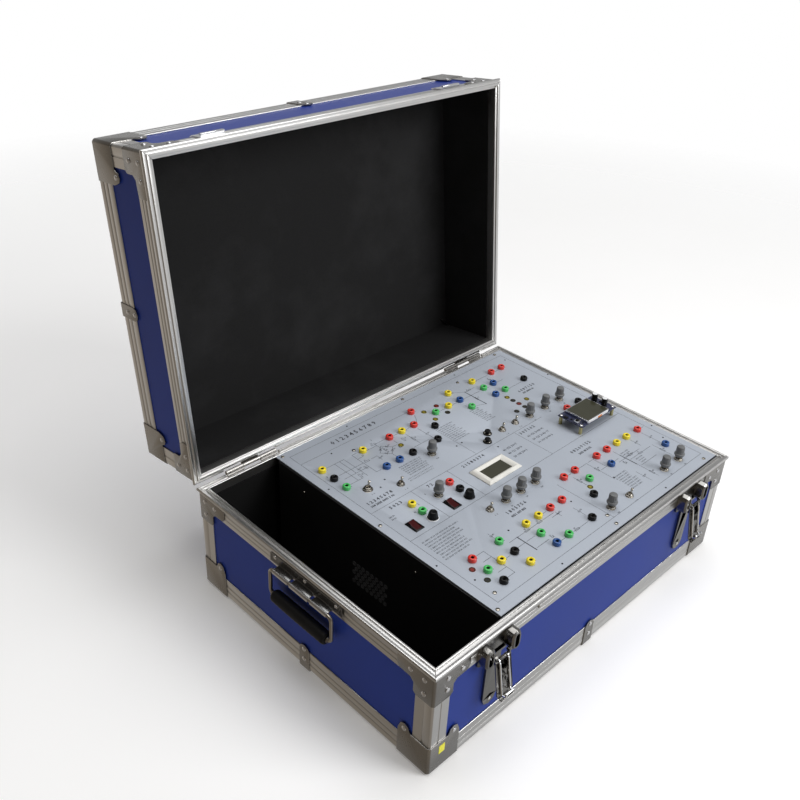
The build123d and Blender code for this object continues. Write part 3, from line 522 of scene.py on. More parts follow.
def silver_paint(name, colour):
    """Silver paint: metallic flake, a faint roller texture and light handling marks."""
    finish = Finish(name, Metallic=0.3)
    flake = finish.cells(2600, "Color")
    sparkle = finish.node("ShaderNodeSeparateColor", {}, {0: flake}, 0)
    cloud = finish.noise(11, 4)
    base = finish.blend(cloud, shade(colour, 0.95), shade(colour, 1.05))
    finish.feed("Base Color", finish.blend(0.16 * sparkle, base, shade(colour, 1.5)))
    finish.feed("Roughness", 0.5 + 0.12 * sparkle + 0.08 * (cloud - 0.5))
    finish.bump(finish.noise(1500, 2), 0.00002)
    return finish.material


def window_glass(name, colour):
    """Dark display window: clear gloss over a faintly uneven olive ground."""
    finish = Finish(name, Coat_Weight=0.3, Coat_Roughness=0.06, IOR=1.45)
    cloud = finish.noise(45, 2)
    rows = finish.noise(500, 1, (0.02, 1, 0.02))
    finish.tone(cloud, colour, 0.85, 1.2)
    finish.feed("Roughness", 0.2 + 0.02 * rows)
    finish.bump(cloud, 0.00001)
    return finish.material


def circuit_board(name, colour, track):
    """Solder mask with copper runs that show through it as lighter lines."""
    finish = Finish(name, Coat_Weight=0.3, Coat_Roughness=0.2)
    runs = finish.noise(160, 0, (1, 0.18, 1))
    along = finish.ramp(runs, (0.0, 0), (0.52, 0), (0.54, 1), (0.58, 1), (0.6, 0))
    finish.feed("Base Color", finish.blend(along, colour, track))
    finish.feed("Roughness", 0.38 + 0.15 * finish.noise(30, 2))
    finish.bump(along, 0.00004)
    return finish.material


def printed_ink(name, colour):
    """Screen-printed ink, a little uneven where the mesh lay."""
    finish = Finish(name)
    weave = finish.noise(2200, 1)
    finish.tone(weave, colour, 0.7, 1.5)
    finish.feed("Roughness", 0.5 + 0.2 * weave)
    finish.bump(weave, 0.00001)
    return finish.material


def plain_floor(name, colour):
    """Plain pale studio floor, very slightly mottled, that fades out far from the object."""
    finish = Finish(name, Specular_IOR_Level=0.1, Emission_Color=(1, 1, 1), Emission_Strength=0.15)
    cloud = finish.noise(3, 2)
    far = finish.node("ShaderNodeVectorMath", {"operation": "LENGTH"}, {0: finish.place}, "Value")
    finish.feed("Alpha", finish.ramp(far / FLOOR_END, (0.0, 1), (FLOOR_FULL / FLOOR_END, 1), (1.0, 0)))
    finish.feed("Base Color", finish.blend(cloud, (0.90, 0.90, 0.90), colour))
    finish.feed("Roughness", 0.7 + 0.1 * cloud)
    return finish.material


def powder_coat(name, colour):
    """Black powder coat: fine bubbled texture, half matt."""
    finish = Finish(name)
    bubble = finish.cells(1400)
    cloud = finish.noise(14, 4)
    finish.tone(cloud, colour, 0.7, 1.5)
    finish.feed("Roughness", 0.5 + 0.2 * cloud)
    finish.bump(bubble, 0.00005, 0.7)
    return finish.material


FINISHES = {}


def finish(name):
    """A finish by its name, made when it is first asked for."""
    if name not in FINISHES:
        maker, tint, *rest = MAKERS[name]
        if isinstance(tint, str):
            tint = tuple(getattr(bpy.context.scene.trainer, tint))
        FINISHES[name] = maker(name, tint, *rest)
    return FINISHES[name]


def paint(**finishes):
    """Give CAD nodes that show as they are a finish of their own."""
    for node, look in finishes.items():
        piece = frame["nodes"][node]
        piece.data.materials.clear()
        piece.data.materials.append(finish(look))


MAKERS = {
    "blue_laminate": (laminate, "laminate_colour"),
    "lined_laminate": (laminate, "laminate_colour", True),
    "lid_lining": (lining_cloth, (0.010, 0.010, 0.0105), (0.020, 0.020, 0.021)),
    "compartment_lining": (lining_cloth, (0.004, 0.004, 0.0042), (0.008, 0.008, 0.008)),
    "satin_aluminium": (plated, (0.70, 0.695, 0.685), 0.33, 0.04, 900, 0.03, 0.000003),
    "nickel_steel": (plated, (0.36, 0.35, 0.335), 0.26, 0.10, 300, 0.12, 0.00001),
    "latch_steel": (plated, (0.24, 0.235, 0.225), 0.22, 0.10, 300, 0.2, 0.00001),
    "handle_steel": (plated, (0.46, 0.43, 0.38), 0.3, 0.06, 300, 0.08, 0.000002),
    # the handle strips: a dark copy of the steel, painted shade; their own knuckles take bright chrome
    "strip_steel": (plated, (0.20, 0.20, 0.20), 0.24, 0.10, 300, 0.2, 0.00001),
    "rivet_steel": (plated, (0.78, 0.78, 0.80), 0.24, 0.08),
    "chrome": (plated, (0.74, 0.75, 0.77), 0.14, 0.07, 400, 0.06, 0.00001),
    "nickel_nuts": (plated, (0.42, 0.395, 0.35), 0.24, 0.12),
    "brass": (plated, (0.45, 0.40, 0.20), 0.35, 0.12),
    "core_steel": (plated, (0.20, 0.20, 0.21), 0.5, 0.2),
    # the vent rims: a lighter copy of the black coat, painted highlight
    "vent_rim": (powder_coat, (0.08, 0.08, 0.084)),
    "black_sheet": (powder_coat, (0.006, 0.006, 0.0065)),
    "silver_panel": (silver_paint, "panel_colour"),
    "grip_rubber": (moulded, (0.009, 0.009, 0.0095), 0.5, 0.3, 1400, 0.00005, 0, 0.25),
    "black_ring": (moulded, (0.01, 0.01, 0.01), 0.5),
    "black_plastic": (moulded, (0.005, 0.005, 0.0055), 0.3, 0.3, 1800, 0.00003, 0, 0.2),
    # near-black painted shade inside the sockets' bores
    "hole_black": (moulded, (0.003, 0.003, 0.003), 0.8, 0.3),
    "grey_plastic": (moulded, (0.15, 0.155, 0.16), 0.45, 0.1, 1300, 0.00005),
    "rocker_red": (moulded, (0.045, 0.002, 0.003), 0.12, 0.25, 1800, 0.00003, 0.25, 0.2),
    "dark_ring": (moulded, (0.03, 0.028, 0.012), 0.5, 0.3, 1800, 0.00003, 0, 0.3),
    "warm_white": (moulded, (0.78, 0.77, 0.72), 0.42, 0.05, 1200, 0.00004),
    "white_plastic": (moulded, (0.85, 0.86, 0.88), 0.4, 0.05),
    "orange_film": (moulded, (0.75, 0.22, 0.03), 0.4, 0.15),
    "display_window": (window_glass, (0.045, 0.045, 0.028)),
    "navy_board": (circuit_board, (0.012, 0.016, 0.05), (0.03, 0.04, 0.11)),
    "green_board": (circuit_board, (0.02, 0.10, 0.035), (0.05, 0.2, 0.08)),
    "panel_ink": (printed_ink, (0.022, 0.024, 0.032)),
    "yellow_label": (printed_ink, (0.85, 0.75, 0.05)),
    "pale_floor": (plain_floor, (0.94, 0.94, 0.94)),
}
for hue in ("red", "yellow", "green", "blue"):
    MAKERS[f"{hue}_plastic"] = (moulded, hue, 0.34, 0.12, 1800, 0.00003, 0.2)
    # the flush test rings take the socket colour at a third: painted shade
    MAKERS[f"{hue}_ring"] = (shaded_moulded, hue, 0.5)


# ------------------------------------------------------------------ the case
def build_boards():
    paint(base_boards="lined_laminate", lid_boards="blue_laminate")


def build_linings():
    paint(compartment_lining="compartment_lining", lid_lining="lid_lining")


def build_extrusions(edge):
    for half, place in (("base", None), ("lid", LID_PLACE)):
        dress(f"{half}_extrusions", f"{half}_edge_bars", "satin_aluminium",
              sharp=edge, body=half, place=place)


def outer_side(edge):
    """Whether an edge lies on the outside of a floor-down case half."""
    def on_outside(corner):
        x, y, z = corner.co
        return min(CASE_W / 2 - abs(x), CASE_D / 2 - abs(y), z) < 0.00005
    return all(on_outside(corner) for corner in edge.verts)


def rivet_model(name, radius):
    """Domed rivet head on a flat collar, seated a little into what it holds."""
    head = [(radius, -0.0003), (radius, 0.0002), (radius * 0.94, 0.0006), (radius * 0.72, 0.0011),
            (radius * 0.4, 0.0014), (radius * 0.08, 0.0015)]
    return turned(name, head, 16)


# rivets of one corner: along the case's side from its corner, and up from the floor or rim
CAP_RIVETS = [(40, 48)]
BRACE_RIVETS = [(44.5, -17), (21.5, -16), (21.5, -34)]
SIDE_BRACE_RIVETS = [(36, -15), (15, -15), (15, -36)]
# heights of the rivets in the edge clips, at the middle of each side
CLIP_RIVETS = (34, 17)


def corner_rivets(height):
    """Matrices of the rivets on caps, braces and clips of one floor-down half."""
    h, spots = height / MM, []
    front = CAP_RIVETS + [(u, h + v) for u, v in BRACE_RIVETS]
    side = CAP_RIVETS + [(u, h + v) for u, v in SIDE_BRACE_RIVETS]
    for sx in (-1, 1):
        for sy in (-1, 1):
            for u, v in front:
                spots.append(move(sx * (CASE_W / 2 - u * MM), sy * CASE_D / 2, v * MM)
                             @ rotated(-90 * sy, "X"))
            for u, v in side:
                spots.append(move(sx * CASE_W / 2, sy * (CASE_D / 2 - u * MM), v * MM)
                             @ rotated(90 * sx, "Y"))
    for z in CLIP_RIVETS:
        for end in (-1, 1):
            spots.append(move(0, end * CASE_D / 2, z * MM) @ rotated(-90 * end, "X"))
        for end in (-1, 1):
            spots.append(move(end * CASE_W / 2, 0, z * MM) @ rotated(90 * end, "Y"))
    return spots


def build_fittings(soft):
    for half, height, place in (("base", BASE_H, BASE_PLACE), ("lid", LID_H, LID_PLACE)):
        dress(f"{half}_corner_fittings", f"{half}_caps_and_braces", "nickel_steel",
              soft, 0.0003, half, place, outer_side)
        spots = [place @ spot for spot in corner_rivets(height)]
        rivets = repeat(f"{half}_rivets", rivet_model("rivet", 0.0034), spots)
        hand_over(rivets, "rivet_steel", body=half)


# rivets of the hinge leaves: places along the back rim, heights on base and shut lid, how far back
HINGE_RIVETS, BASE_ROW, LID_ROW, HINGE_BACK = (-216, -188, 188, 216), 0.1436, 0.1808, 0.2173


def build_hinges():
    for half, height, place in (("base", BASE_ROW, BASE_PLACE), ("lid", LID_ROW, OPENED)):
        dress(f"{half}_hinge_leaves", f"{half}_hinges", "nickel_steel",
              0.0006, 0.0002, half)
        spots = [place @ move(x * MM, HINGE_BACK, height) @ rotated(-90, "X") for x in HINGE_RIVETS]
        rivets = repeat(f"{half}_hinge_rivets", rivet_model("rivet", 0.0024), spots)
        hand_over(rivets, "rivet_steel", body=half)


# ------------------------------------------------------------------ latches and handles


def bail_wire(name, x):
    """Round wire bail with its two eyes, laid down along the lever as it rests."""
    s, z = BAIL_PIVOT
    leg_s, half, wire, bend = s - 0.0024, 0.0074, 0.00125, 0.0017
    # with the latch shut: height of the bail's top and of its hook's end, and how far out the lip is
    top, hook, lip = 0.1772, 0.1737, 0.0019
    start = (x - half, -CASE_D / 2 - leg_s, z + 0.0015)
    up, over = ("run", top - bend - start[2]), ("run", leg_s - lip - 2 * bend)
    drop = ("run", max(0.0001, top - hook - 2 * bend))
    route = [up, ("bend", -90, bend, (1, 0, 0)), over, ("bend", -90, bend, (1, 0, 0)),
             drop, ("bend", -90, bend, (0, 1, 0)), ("run", 2 * half - 2 * bend),
             ("bend", -90, bend, (0, 1, 0)), drop, ("bend", -90, bend, (-1, 0, 0)),
             over, ("bend", -90, bend, (-1, 0, 0)), up]
    parts = [bent_wire(name, start, (0, 0, 1), route, wire, 12)]
    for side in (-1, 1):
        eye = turned("eye", mm("1.55,-1.1 2.5,-1.2 2.9,-0.8 2.9,0.8 2.5,1.2 1.55,1.1"), 20)
        parts.append(place_mesh(eye, move(x + side * half, -CASE_D / 2 - s, z) @ rotated(90, "Y")))
    y = -CASE_D / 2
    lay = move(0, y - s, z) @ rotated(180, "X") @ move(0, s - y, -z)
    rest = (move(0, y - LEVER_PIVOT[0], LEVER_PIVOT[1]) @ Matrix.Rotation(-LEVER_REST, 4, "X")
            @ move(0, LEVER_PIVOT[0] - y, -LEVER_PIVOT[1]))
    return place_mesh(join(name, parts), rest @ lay)


# rivets of one latch: across from its middle, out from the case, up from the floor
LATCH_RIVETS = ((-22.2, 10.3, 142.5), (22.2, 10.3, 142.5), (0, 0.1, 54.5))


def build_latches(soft):
    spots = []
    for name, x in (("left", -LATCH_X), ("right", LATCH_X)):
        dress(f"{name}_latch_lever", f"{name}_lever", "latch_steel",
              0.0006, 0.0002, f"{name}_latch_lever")
        bail = bail_wire(f"{name}_bail", x)
        hand_over(bail, "chrome", f"{name}_latch_bail", body=f"{name}_latch_bail")
        spots += [move(x + u * MM, -CASE_D / 2 - out * MM, z * MM) @ rotated(90, "X")
                  for u, out, z in LATCH_RIVETS]
    dress("latch_base_plates", "latch_plates", "latch_steel", soft, 0.0002)
    dress("latch_strikes", "latch_keepers", "chrome", body="lid")
    hand_over(repeat("latch_rivets", rivet_model("rivet", 0.0026), spots), "rivet_steel")


def handle_loop(name):
    """The wire loop of the left handle: round knuckle bar, legs and the ends in the grip."""
    x, half, bend = -CASE_W / 2 - HANDLE_OUT, HANDLE_SPAN / 2, 0.0065
    low = HANDLE_Z - HANDLE_DROP
    corner, end = ("bend", -90, bend, (1, 0, 0)), ("run", half - 0.002 - bend)
    leg, bar = ("run", HANDLE_DROP - 2 * bend), ("run", HANDLE_SPAN - 2 * bend)
    route = [end, corner, leg, corner, bar, corner, leg, corner, end]
    parts = [bent_wire(name, (x, HANDLE_Y - 0.002, low), (0, -1, 0), route, 0.0025, 20)]
    for side in (-1, 1):
        ferrule = turned("ferrule", mm("3,-1.4 4.1,-1.2 4.1,1.2 3,1.4"), 24)
        parts.append(place_mesh(ferrule, move(x, HANDLE_Y + side * 0.0516, low) @ rotated(90, "X")))
    return join(name, parts)


def grip_model(name):
    """Moulded grip: barrelled, with shallow finger rings and rounded ends."""
    half = 0.050
    profile = [(0.0028, -half), (0.0062, -half), (0.0074, -half + 0.0006), (0.0082, -half + 0.002)]
    for k in range(25):
        t = -1 + k / 12
        ring = 0.0003 if k % 2 else 0.0
        profile.append((0.0091 - 0.0004 * t * t - ring, t * (half - 0.004)))
    profile += [(0.0082, half - 0.002), (0.0074, half - 0.0006), (0.0062, half), (0.0028, half)]
    grip = turned(name, profile, 28)
    x, low = -CASE_W / 2 - HANDLE_OUT, HANDLE_Z - HANDLE_DROP
    return place_mesh(grip, move(x, HANDLE_Y, low) @ rotated(90, "X"))


def handle_mount():
    """Left mount: a riveted strip with a pressed border, and its three knuckles curled on the wire."""
    x, half = -CASE_W / 2, 0.066
    strip = cube("strip", (x - 0.0016, HANDLE_Y - half, 0.1418), (x - 0.0003, HANDLE_Y + half, 0.1564))
    with Editing(strip, "EDGE") as editing:
        def corner(edge):
            a, b = (v.co for v in edge.verts)
            return abs(a.x - b.x) > 0.001 and min(a.z, b.z) > 0.150
        editing.choose(corner)
        bpy.ops.mesh.bevel(offset=0.004, segments=4)
    with Editing(strip) as editing:
        editing.choose(lambda face: face.normal.x < -0.9)
        bpy.ops.mesh.inset(thickness=0.0022, depth=0)
        bpy.ops.mesh.inset(thickness=0.0006, depth=-0.0004)
    round_edges(strip, 0.0002)
    strips, rolls = [strip], []
    for low, high, r in ((-0.050, -0.021, 0.0034), (-0.017, 0.017, 0.0037), (0.021, 0.050, 0.0034)):
        mid, reach = HANDLE_Y + (low + high) / 2, (high - low) / 2
        roll = turned("roll", [(0.0026, -reach), (r - 0.0004, -reach), (r, -reach + 0.0005),
                               (r, reach - 0.0005), (r - 0.0004, reach), (0.0026, reach)], 28)
        place_mesh(roll, move(x - HANDLE_OUT, mid, HANDLE_Z) @ rotated(90, "X"))
        web = cube("web", (x - HANDLE_OUT, mid - reach, HANDLE_Z + r - 0.0013),
                   (x - 0.0008, mid + reach, HANDLE_Z + r))
        with Editing(web, "VERT") as editing:
            editing.choose(lambda corner: corner.co.x > x - 0.002)
            bpy.ops.transform.translate(value=(0, 0, 0.0004))
        round_edges(web, 0.0002)
        strips.append(web)
        rolls.append(roll)
    return join("mount_strip", strips), join("mount_rolls", rolls)


def build_handles():
    mirror = scaled(-1, 1, 1)
    strip, rolls = handle_mount()
    strips = join("handle_mounts", [strip, copy_of(strip, "strip", mirror)])
    # one pressed plate in two finishes: the strip dark steel as painted shade, the knuckles bright chrome
    # as a painted highlight
    hand_over(strips, "strip_steel", "handle_plates")
    hand_over(join("handle_knuckles", [rolls, copy_of(rolls, "rolls", mirror)]), "chrome")
    loop, grip = handle_loop("left_loop"), grip_model("left_grip")
    for side, matrix in (("left", BASE_PLACE), ("right", mirror)):
        wire = copy_of(loop, f"{side}_handle_wire", matrix)
        hand_over(wire, "handle_steel", f"{side}_handle_bail", body=f"{side}_handle")
        held = copy_of(grip, f"{side}_handle_sleeve", matrix)
        hand_over(held, "grip_rubber", f"{side}_handle_grip", f"{side}_handle", 40)
    bpy.data.objects.remove(loop)
    bpy.data.objects.remove(grip)
    spots = [move(side * (CASE_W / 2 + 0.0012), HANDLE_Y + step * 0.056, 0.1512)
             @ rotated(90 * side, "Y") for side in (-1, 1) for step in (1, 0, -1)]
    hand_over(repeat("handle_rivets", rivet_model("rivet", 0.0027), spots), "rivet_steel")


# ------------------------------------------------------------------ control panel
# x, y in millimetres of the panel's screws and of the black pins in its small holes
PANEL_SCREWS = [(-178, 199), (275, 200), (272, -197), (-180, -195), (-93, 146), (-178.5, 1),
                (159, 178), (56, 199), (-162, -175), (58, -179.5), (53, -197)]
PIN_HOLES = [(-121.5, 161), (-59, 199), (-178, 101), (-107, 68), (-123, 59), (173, 198), (292, 100),
             (38, 59), (26, 58), (70, 17.5), (275, 177), (290, -99), (275, -128), (169.5, -198),
             (46, -130), (-63, -113), (135, -137), (-179, -98), (-163, -145), (-62, -197)]
# the wall's vents in millimetres: y and z of the first, and the steps along and up
VENTS_FROM, VENT_STEPS = (-22, 50), (8.6, 7.448)
# the black sheet wall, and y, z of its screws
WALL_X = -0.187
WALL_SCREWS = [(0.141, 0.139), (-0.072, 0.139)]


def screw_model(name, radius):
    """Pan-head screw with a cross recess cut into it."""
    head = turned(name, [(radius, -0.0002), (radius, 0.0004), (radius * 0.9, 0.0010),
                         (radius * 0.6, 0.0014), (radius * 0.1, 0.0015)], 24)
    long, wide = radius * 0.55, radius * 0.12
    for turn in (20, 110):
        cut_away(head, place_mesh(cube("arm", (-long, -wide, 0.0006), (long, wide, 0.003)),
                                  rotated(turn, "Z")))
    return head


def build_panel(edge):
    dress("control_panel", "panel_plate", "silver_panel", sharp=edge)
    screws = repeat("panel_screws", screw_model("screw", 0.0027), on_panel(PANEL_SCREWS, MM))
    hand_over(screws, "nickel_nuts")
    walls = [move(WALL_X - 0.0002, y, z) @ rotated(-90, "Y") for y, z in WALL_SCREWS]
    walls.append(move(-0.1317, -CASE_D / 2 - 0.0002, 0.152) @ rotated(90, "X"))
    small = repeat("wall_screws", screw_model("screw", 0.0021), walls)
    hand_over(small, "nickel_nuts")
    # vent rims in a lighter black than the wall: painted highlight where the hole edges catch the light
    rim = turned("rim", mm("3.5,0 3.4,0.3 2.8,0.4 2.6,0.1"), 20)
    (first, low), (along, up) = VENTS_FROM, VENT_STEPS
    vents = [move(WALL_X, (first + along * (k + 0.5 * (row % 2))) * MM, (low + up * row) * MM)
             @ rotated(-90, "Y") for row in range(5) for k in range(8 - row % 2)]
    hand_over(repeat("vent_rims", rim, vents), "vent_rim")
    pin = turned("pin", mm("1.3,-0.2 1.3,0.2 1,0.4 0.6,0.1"), 14)
    hand_over(repeat("panel_pins", pin, on_panel(PIN_HOLES, MM)), "black_plastic")


# ------------------------------------------------------------------ printed lines and numbers
SOCKET_COLOURS = ("yellow", "red", "green", "blue", "black")
INK_H = 0.00004
PRINT_Z = PANEL_TOP + INK_H / 2 + 0.00002
# font size for digits one unit high, and how far the strokes of headings and digits are fattened
FONT_SIZE, HEADING_BOLD, DIGIT_BOLD = 1.35, 0.00022, 0.00007


def drawn(text):
    """Printed paths from text: points as x,y in millimetres, and a slash between two paths."""
    return [[tuple(float(value) for value in point.split(",")) for point in path.split()]
            for path in text.split("/")]


BORDERS = drawn(
    "-171,-187.5 281,-187.5 281,192 -171,192 -171,-187.5/-171,168 32,168/-171,26 181,26/-171,-45.5 "
    "281,-45.5/-99,26 -99,-45.5/-29,26 -29,-45.5/116,24 116,-45.5/33,110 33,26/61.5,-95 61.5,-187.5")
CIRCUITS = drawn(
    "-149,139 -118,139 -118,90/-135,139 -135,90/-126,139 -126,104/-147,115 -103,115/-149,90 -126,90/"
    "-147,104 -103,104/-94,139 -103,139 -103,88 -95,88/-103,127 -92,127/-88,115 -77,115 -77,104/"
    "-78,134 -60,134/-42,138 -60,138 -60,126/-69,117 -57,129 -45,117 -57,105 -69,117/-45,117 -37,117/"
    "-57,105 -57,96/-26,136 -17,136/-1,136 8,136/-33,127 -33,119/-8,127 -8,96/-22,96 8,96/16,127 16,94/"
    "24,136 32,146 38,155/146,151 146,106/103,138 112,138/128,163 146,151/128,138 146,138/128,113 "
    "146,106/146,151 168,151/146,138 168,138/184,163 214,163/207,138 222,138/207,113 240,113/230,163 "
    "241,163/66,147 66,130/74,138 86,138/-132,-118 -117,-118 -117,-168 -131,-168/-132,-131 -117,-131/"
    "-132,-155 -117,-155/-107,-145 -98,-145/-88,-100 -88,-112/-80,-129 9,-129/-80,-142 -66,-142/"
    "-65,-129 -65,-160/-62,-142 -47,-142/-62,-158 -38,-158/-29,-170 29,-170/-5,-121 4,-121/12,-129 "
    "12,-140/37,-140 37,-160/0,-134 20,-134/88,-92 97,-92/92,-100 92,-122/113,-92 133,-92 133,-140/"
    "137,-92 150,-92/137,-115 149,-115 149,-92/165,-115 178,-115/187,-100 187,-176/170,-176 170,-150/"
    "172,-121 222,-121/190,-128 240,-128/246,-128 246,-160/261,-100 261,-132/232,-100 232,-118/270,-92 "
    "278,-92/190,-146 228,-146")
BOLD_LINES = drawn("146,151 146,106/-65,-129 -65,-160/187,-112 187,-140")
# printed signs about their own middle: a resistor's box, a capacitor's plates, a diode's arrow
BOX = drawn("-4,-1.3 4,-1.3 4,1.3 -4,1.3 -4,-1.3")
PLATES = drawn("-0.8,-2.4 -0.8,2.4/0.8,-2.4 0.8,2.4")
ARROW = drawn("-2,-1.8 -2,1.8 1.6,0 -2,-1.8/1.6,-1.8 1.6,1.8")
# where the signs stand: x, y and turn in degrees
RESISTORS = [(-62, 139, 0), (-20, 120, 90), (-126, 96, 90), (-96, 115, 0), (-117, -143, 90),
             (-45, -129, 0), (-20, -129, 0), (5, -170, 0), (200, -121, 0), (215, -128, 0), (187, -165, 90),
             (133, -110, 90), (146, 126, 90), (155, 151, 0), (-8, 112, 90), (246, -145, 90), (92, -110, 90)]
CAPACITORS = [(-118, 108, 90), (-77, 109, 90), (16, 108, 90), (170, -163, 90), (12, -134, 90),
              (37, -150, 90), (-88, -106, 90), (232, -109, 90), (261, -115, 90), (-107, 104, 0)]
DIODES = [(-63, 123, 45), (-51, 123, 135), (-51, 111, 45), (-63, 111, 135), (-57, 117, 0), (-37, 110, 90),
          (-30, -158, 0), (178, -128, 0), (206, 151, 0)]
# rows of plain digits: x, y, digits, height of the print
DIGIT_ROWS = ([(35, 105 - 4.2 * k, "010 1101 00 110 1 011"[: 21 - (k * 3) % 5], 2.6) for k in range(10)]
              + [(109, 106 - 4.2 * k, "10 011 0 1101"[(k * 2) % 4:], 2.6) for k in range(9)]
              + [(-74, 73 - 4.2 * k, "0110 10 0011 010 1101 0 11"[k % 3:], 2.6) for k in range(6)]
              + [(-83, 46 - 4.4 * k, "1 0 1 1 0 0 1 0 1 1 0 1 0 0 1 1 0 1"[2 * k:], 2.6) for k in range(2)]
              + [(-163, -59 - 5.0 * k, "01 10011 0110 101 0010 1101 011 0100 1"[(k * 5) % 7: 38 - k], 2.8)
                 for k in range(9)]
              + [(134, -139 - 4.4 * k, "101 0110 01 1100 1"[k % 4:], 2.6) for k in range(8)]
              + [(68, 4 - 10 * k, ("80 155 30=7", "40 121 24=3", "20 108 20=1")[k], 4.2) for k in range(3)]
              + [(123, 4 - 10 * k, ("60 150 3=08 41", "30 125 2=46 17", "10 100 2=00 5")[k], 4.2)
                 for k in range(3)]
              + [(190, -112 - 4.4 * k, "10 01 1 0110"[k % 2:], 2.4) for k in range(3)]
              + [(196, -134 - 4.4 * k, "011 0 10 01"[k % 3:], 2.4) for k in range(3)]
              + [(-160, 3 - 5 * k, "230 50"[k:], 2.6) for k in range(2)]
              + [(-76, 134, "1", 3), (-58, 148, "2", 3), (-163, 122, "3", 3), (-93, 128, "22", 2.6),
                 (-112, -2, "5", 3), (-90, 8, "6", 3), (-40, 8, "0", 3), (-128, -10, "12", 2.6)])
HEADINGS = [(-162, 41, "1 2 3 4 5 6 7 8", 5.6), (-162, 34, "104 2035 3041 5 06", 3.8),
            (-6, 15.5, "2 1 5 8 0 3 7 4", 5.6), (120, 15.5, "3 0 7 1 6 2", 5.6),
            (-145, 16, "5 0 2 3", 5.6), (-75, 16, "7 2", 5.6), (-39, -92, "1 8 0 5 7 5 6", 5.6),
            (-39, -100, "4051 607 803", 3.8), (138, -64, "0 8 2 6 9 1 5 2", 5.6),
            (144, -73, "2035 40 5162", 3.8), (212, 94, "6 4 8 7 1 5 0", 5.6), (214, 87, "607 8094 10", 3.8),
            (-106, 176, "0 1 2 3 4 5 6 7 8 9", 8.5)]


def stroke(start, end, width):
    """Matrix that lays the ink bar along one printed line."""
    (x0, y0), (x1, y1) = start, end
    length, turn = math.hypot(x1 - x0, y1 - y0) + width, math.atan2(y1 - y0, x1 - x0)
    return (move((x0 + x1) / 2 * MM, (y0 + y1) / 2 * MM, PRINT_Z)
            @ Matrix.Rotation(turn, 4, "Z") @ scaled(length * MM, width * MM, INK_H))


def symbol(paths, x, y, degrees):
    """Small drawing turned and moved to its place on the panel."""
    c, s = math.cos(math.radians(degrees)), math.sin(math.radians(degrees))
    return [[(x + u * c - v * s, y + u * s + v * c) for u, v in path] for path in paths]


def digits(text, x, y, height, bold=DIGIT_BOLD):
    """A row of plain numbers as a thin mesh on the panel."""
    clear_selection()
    bpy.ops.object.text_add()
    row = bpy.context.object
    row.data.body, row.data.size = text, height * MM * FONT_SIZE
    row.data.resolution_u, row.data.extrude, row.data.offset = 1, INK_H / 2, bold
    bpy.ops.object.convert(target="MESH")
    row = bpy.context.object
    return place_mesh(row, move(x * MM, y * MM, PRINT_Z))


def build_print(line):
    bar = cube("bar", (-0.5, -0.5, -0.5), (0.5, 0.5, 0.5))
    with Editing(bar, "VERT") as editing:
        editing.choose(lambda corner: corner.co.z > 0)
        bpy.ops.transform.resize(value=(1, 0.8, 1))
    signs = [path for drawing, places in ((BOX, RESISTORS), (PLATES, CAPACITORS), (ARROW, DIODES))
             for x, y, turn in places for path in symbol(drawing, x, y, turn)]
    bars = [stroke(a, b, line / MM * k)
            for paths, k in ((BORDERS, 1), (CIRCUITS + signs, 1.15), (BOLD_LINES, 3))
            for path in paths for a, b in zip(path, path[1:])]
    hand_over(repeat("printed_lines", bar, bars), "panel_ink")
    rows = [digits(text, x, y, size) for x, y, text, size in DIGIT_ROWS]
    for k in range(11):
        x, y = middle(f"pot_knob_{k + 1}")
        rows.append(digits(("100", "10", "50", "20")[k % 4], x / MM - 4, y / MM - 14, 2.6))
    for k in range(6):
        x, y = middle(f"toggle_lever_{k + 1}")
        rows.append(digits("1  0", x / MM - 4, y / MM - 12, 2.6))
    for hue in SOCKET_COLOURS:
        for k, (x, y) in enumerate(middles(f"{hue}_jacks", is_tall)):
            rows.append(digits(str(k % 12 + 1), x / MM + 7, y / MM - 2.5, 2.4))
    for k, (x, y, turn) in enumerate(RESISTORS + CAPACITORS + DIODES):
        aside, above = (3, 0) if turn else (-2.5, 2.6)
        rows.append(digits(str(k * 7 % 90 + 10), x + aside, y + above, 2.4))
    hand_over(join("printed_digits", rows), "panel_ink")
    heads = [digits(text, x, y, size, HEADING_BOLD) for x, y, text, size in HEADINGS]
    hand_over(join("printed_headings", heads), "panel_ink")


# ------------------------------------------------------------------ sockets
def tall_socket(name):
    """Coloured cap of a 4 mm socket: rounded shoulder, dished mouth and its bore."""
    return turned(name, mm("5.3,0 5.65,0.3 5.65,4.2 5.45,5.1 4.9,5.7 4.2,6 3.1,6 2.6,5.6 2.25,5 "
                           "2.25,1"), 28)


def flush_ring(name):
    """Thin coloured rim of a test socket that lies nearly flush with the panel."""
    return turned(name, mm("4.25,0 4.2,0.4 3.9,0.5 3.7,0.3"), 24)


def bore_shade_sleeve(name):
    """Dark contact tube inside a tall socket."""
    return turned(name, mm("2.22,0.9 2.22,4.8 1.9,4.9 1.8,1.3"), 20)


def is_tall(low, high):
    return high.z > PANEL_TOP + 0.004


def build_sockets():
    tall_spots, flush_spots = [], []
    for hue in SOCKET_COLOURS:
        tall_at = on_panel(middles(f"{hue}_jacks", is_tall))
        flush_at = on_panel(middles(f"{hue}_jacks", lambda low, high: not is_tall(low, high)))
        caps = repeat(f"{hue}_sockets", tall_socket("cap"), tall_at)
        if flush_at:
            rings = repeat(f"{hue}_test_rings", flush_ring("ring"), flush_at)
            # the rings' finish is the socket colour darkened to a third: painted shade
            hand_over(rings, f"{hue}_ring")
        hand_over(caps, f"{hue}_plastic", f"{hue}_jacks")
        tall_spots += tall_at
        flush_spots += flush_at
    # a near-black tube in each bore: painted shade
    hand_over(repeat("sleeves", bore_shade_sleeve("sleeve"), tall_spots), "hole_black")
    cup = turned("cup", mm("3.8,0.1 3.7,0.5 2.7,0.5 2.4,0.2"), 20)
    hand_over(repeat("test_bores", cup, flush_spots), "dark_ring")


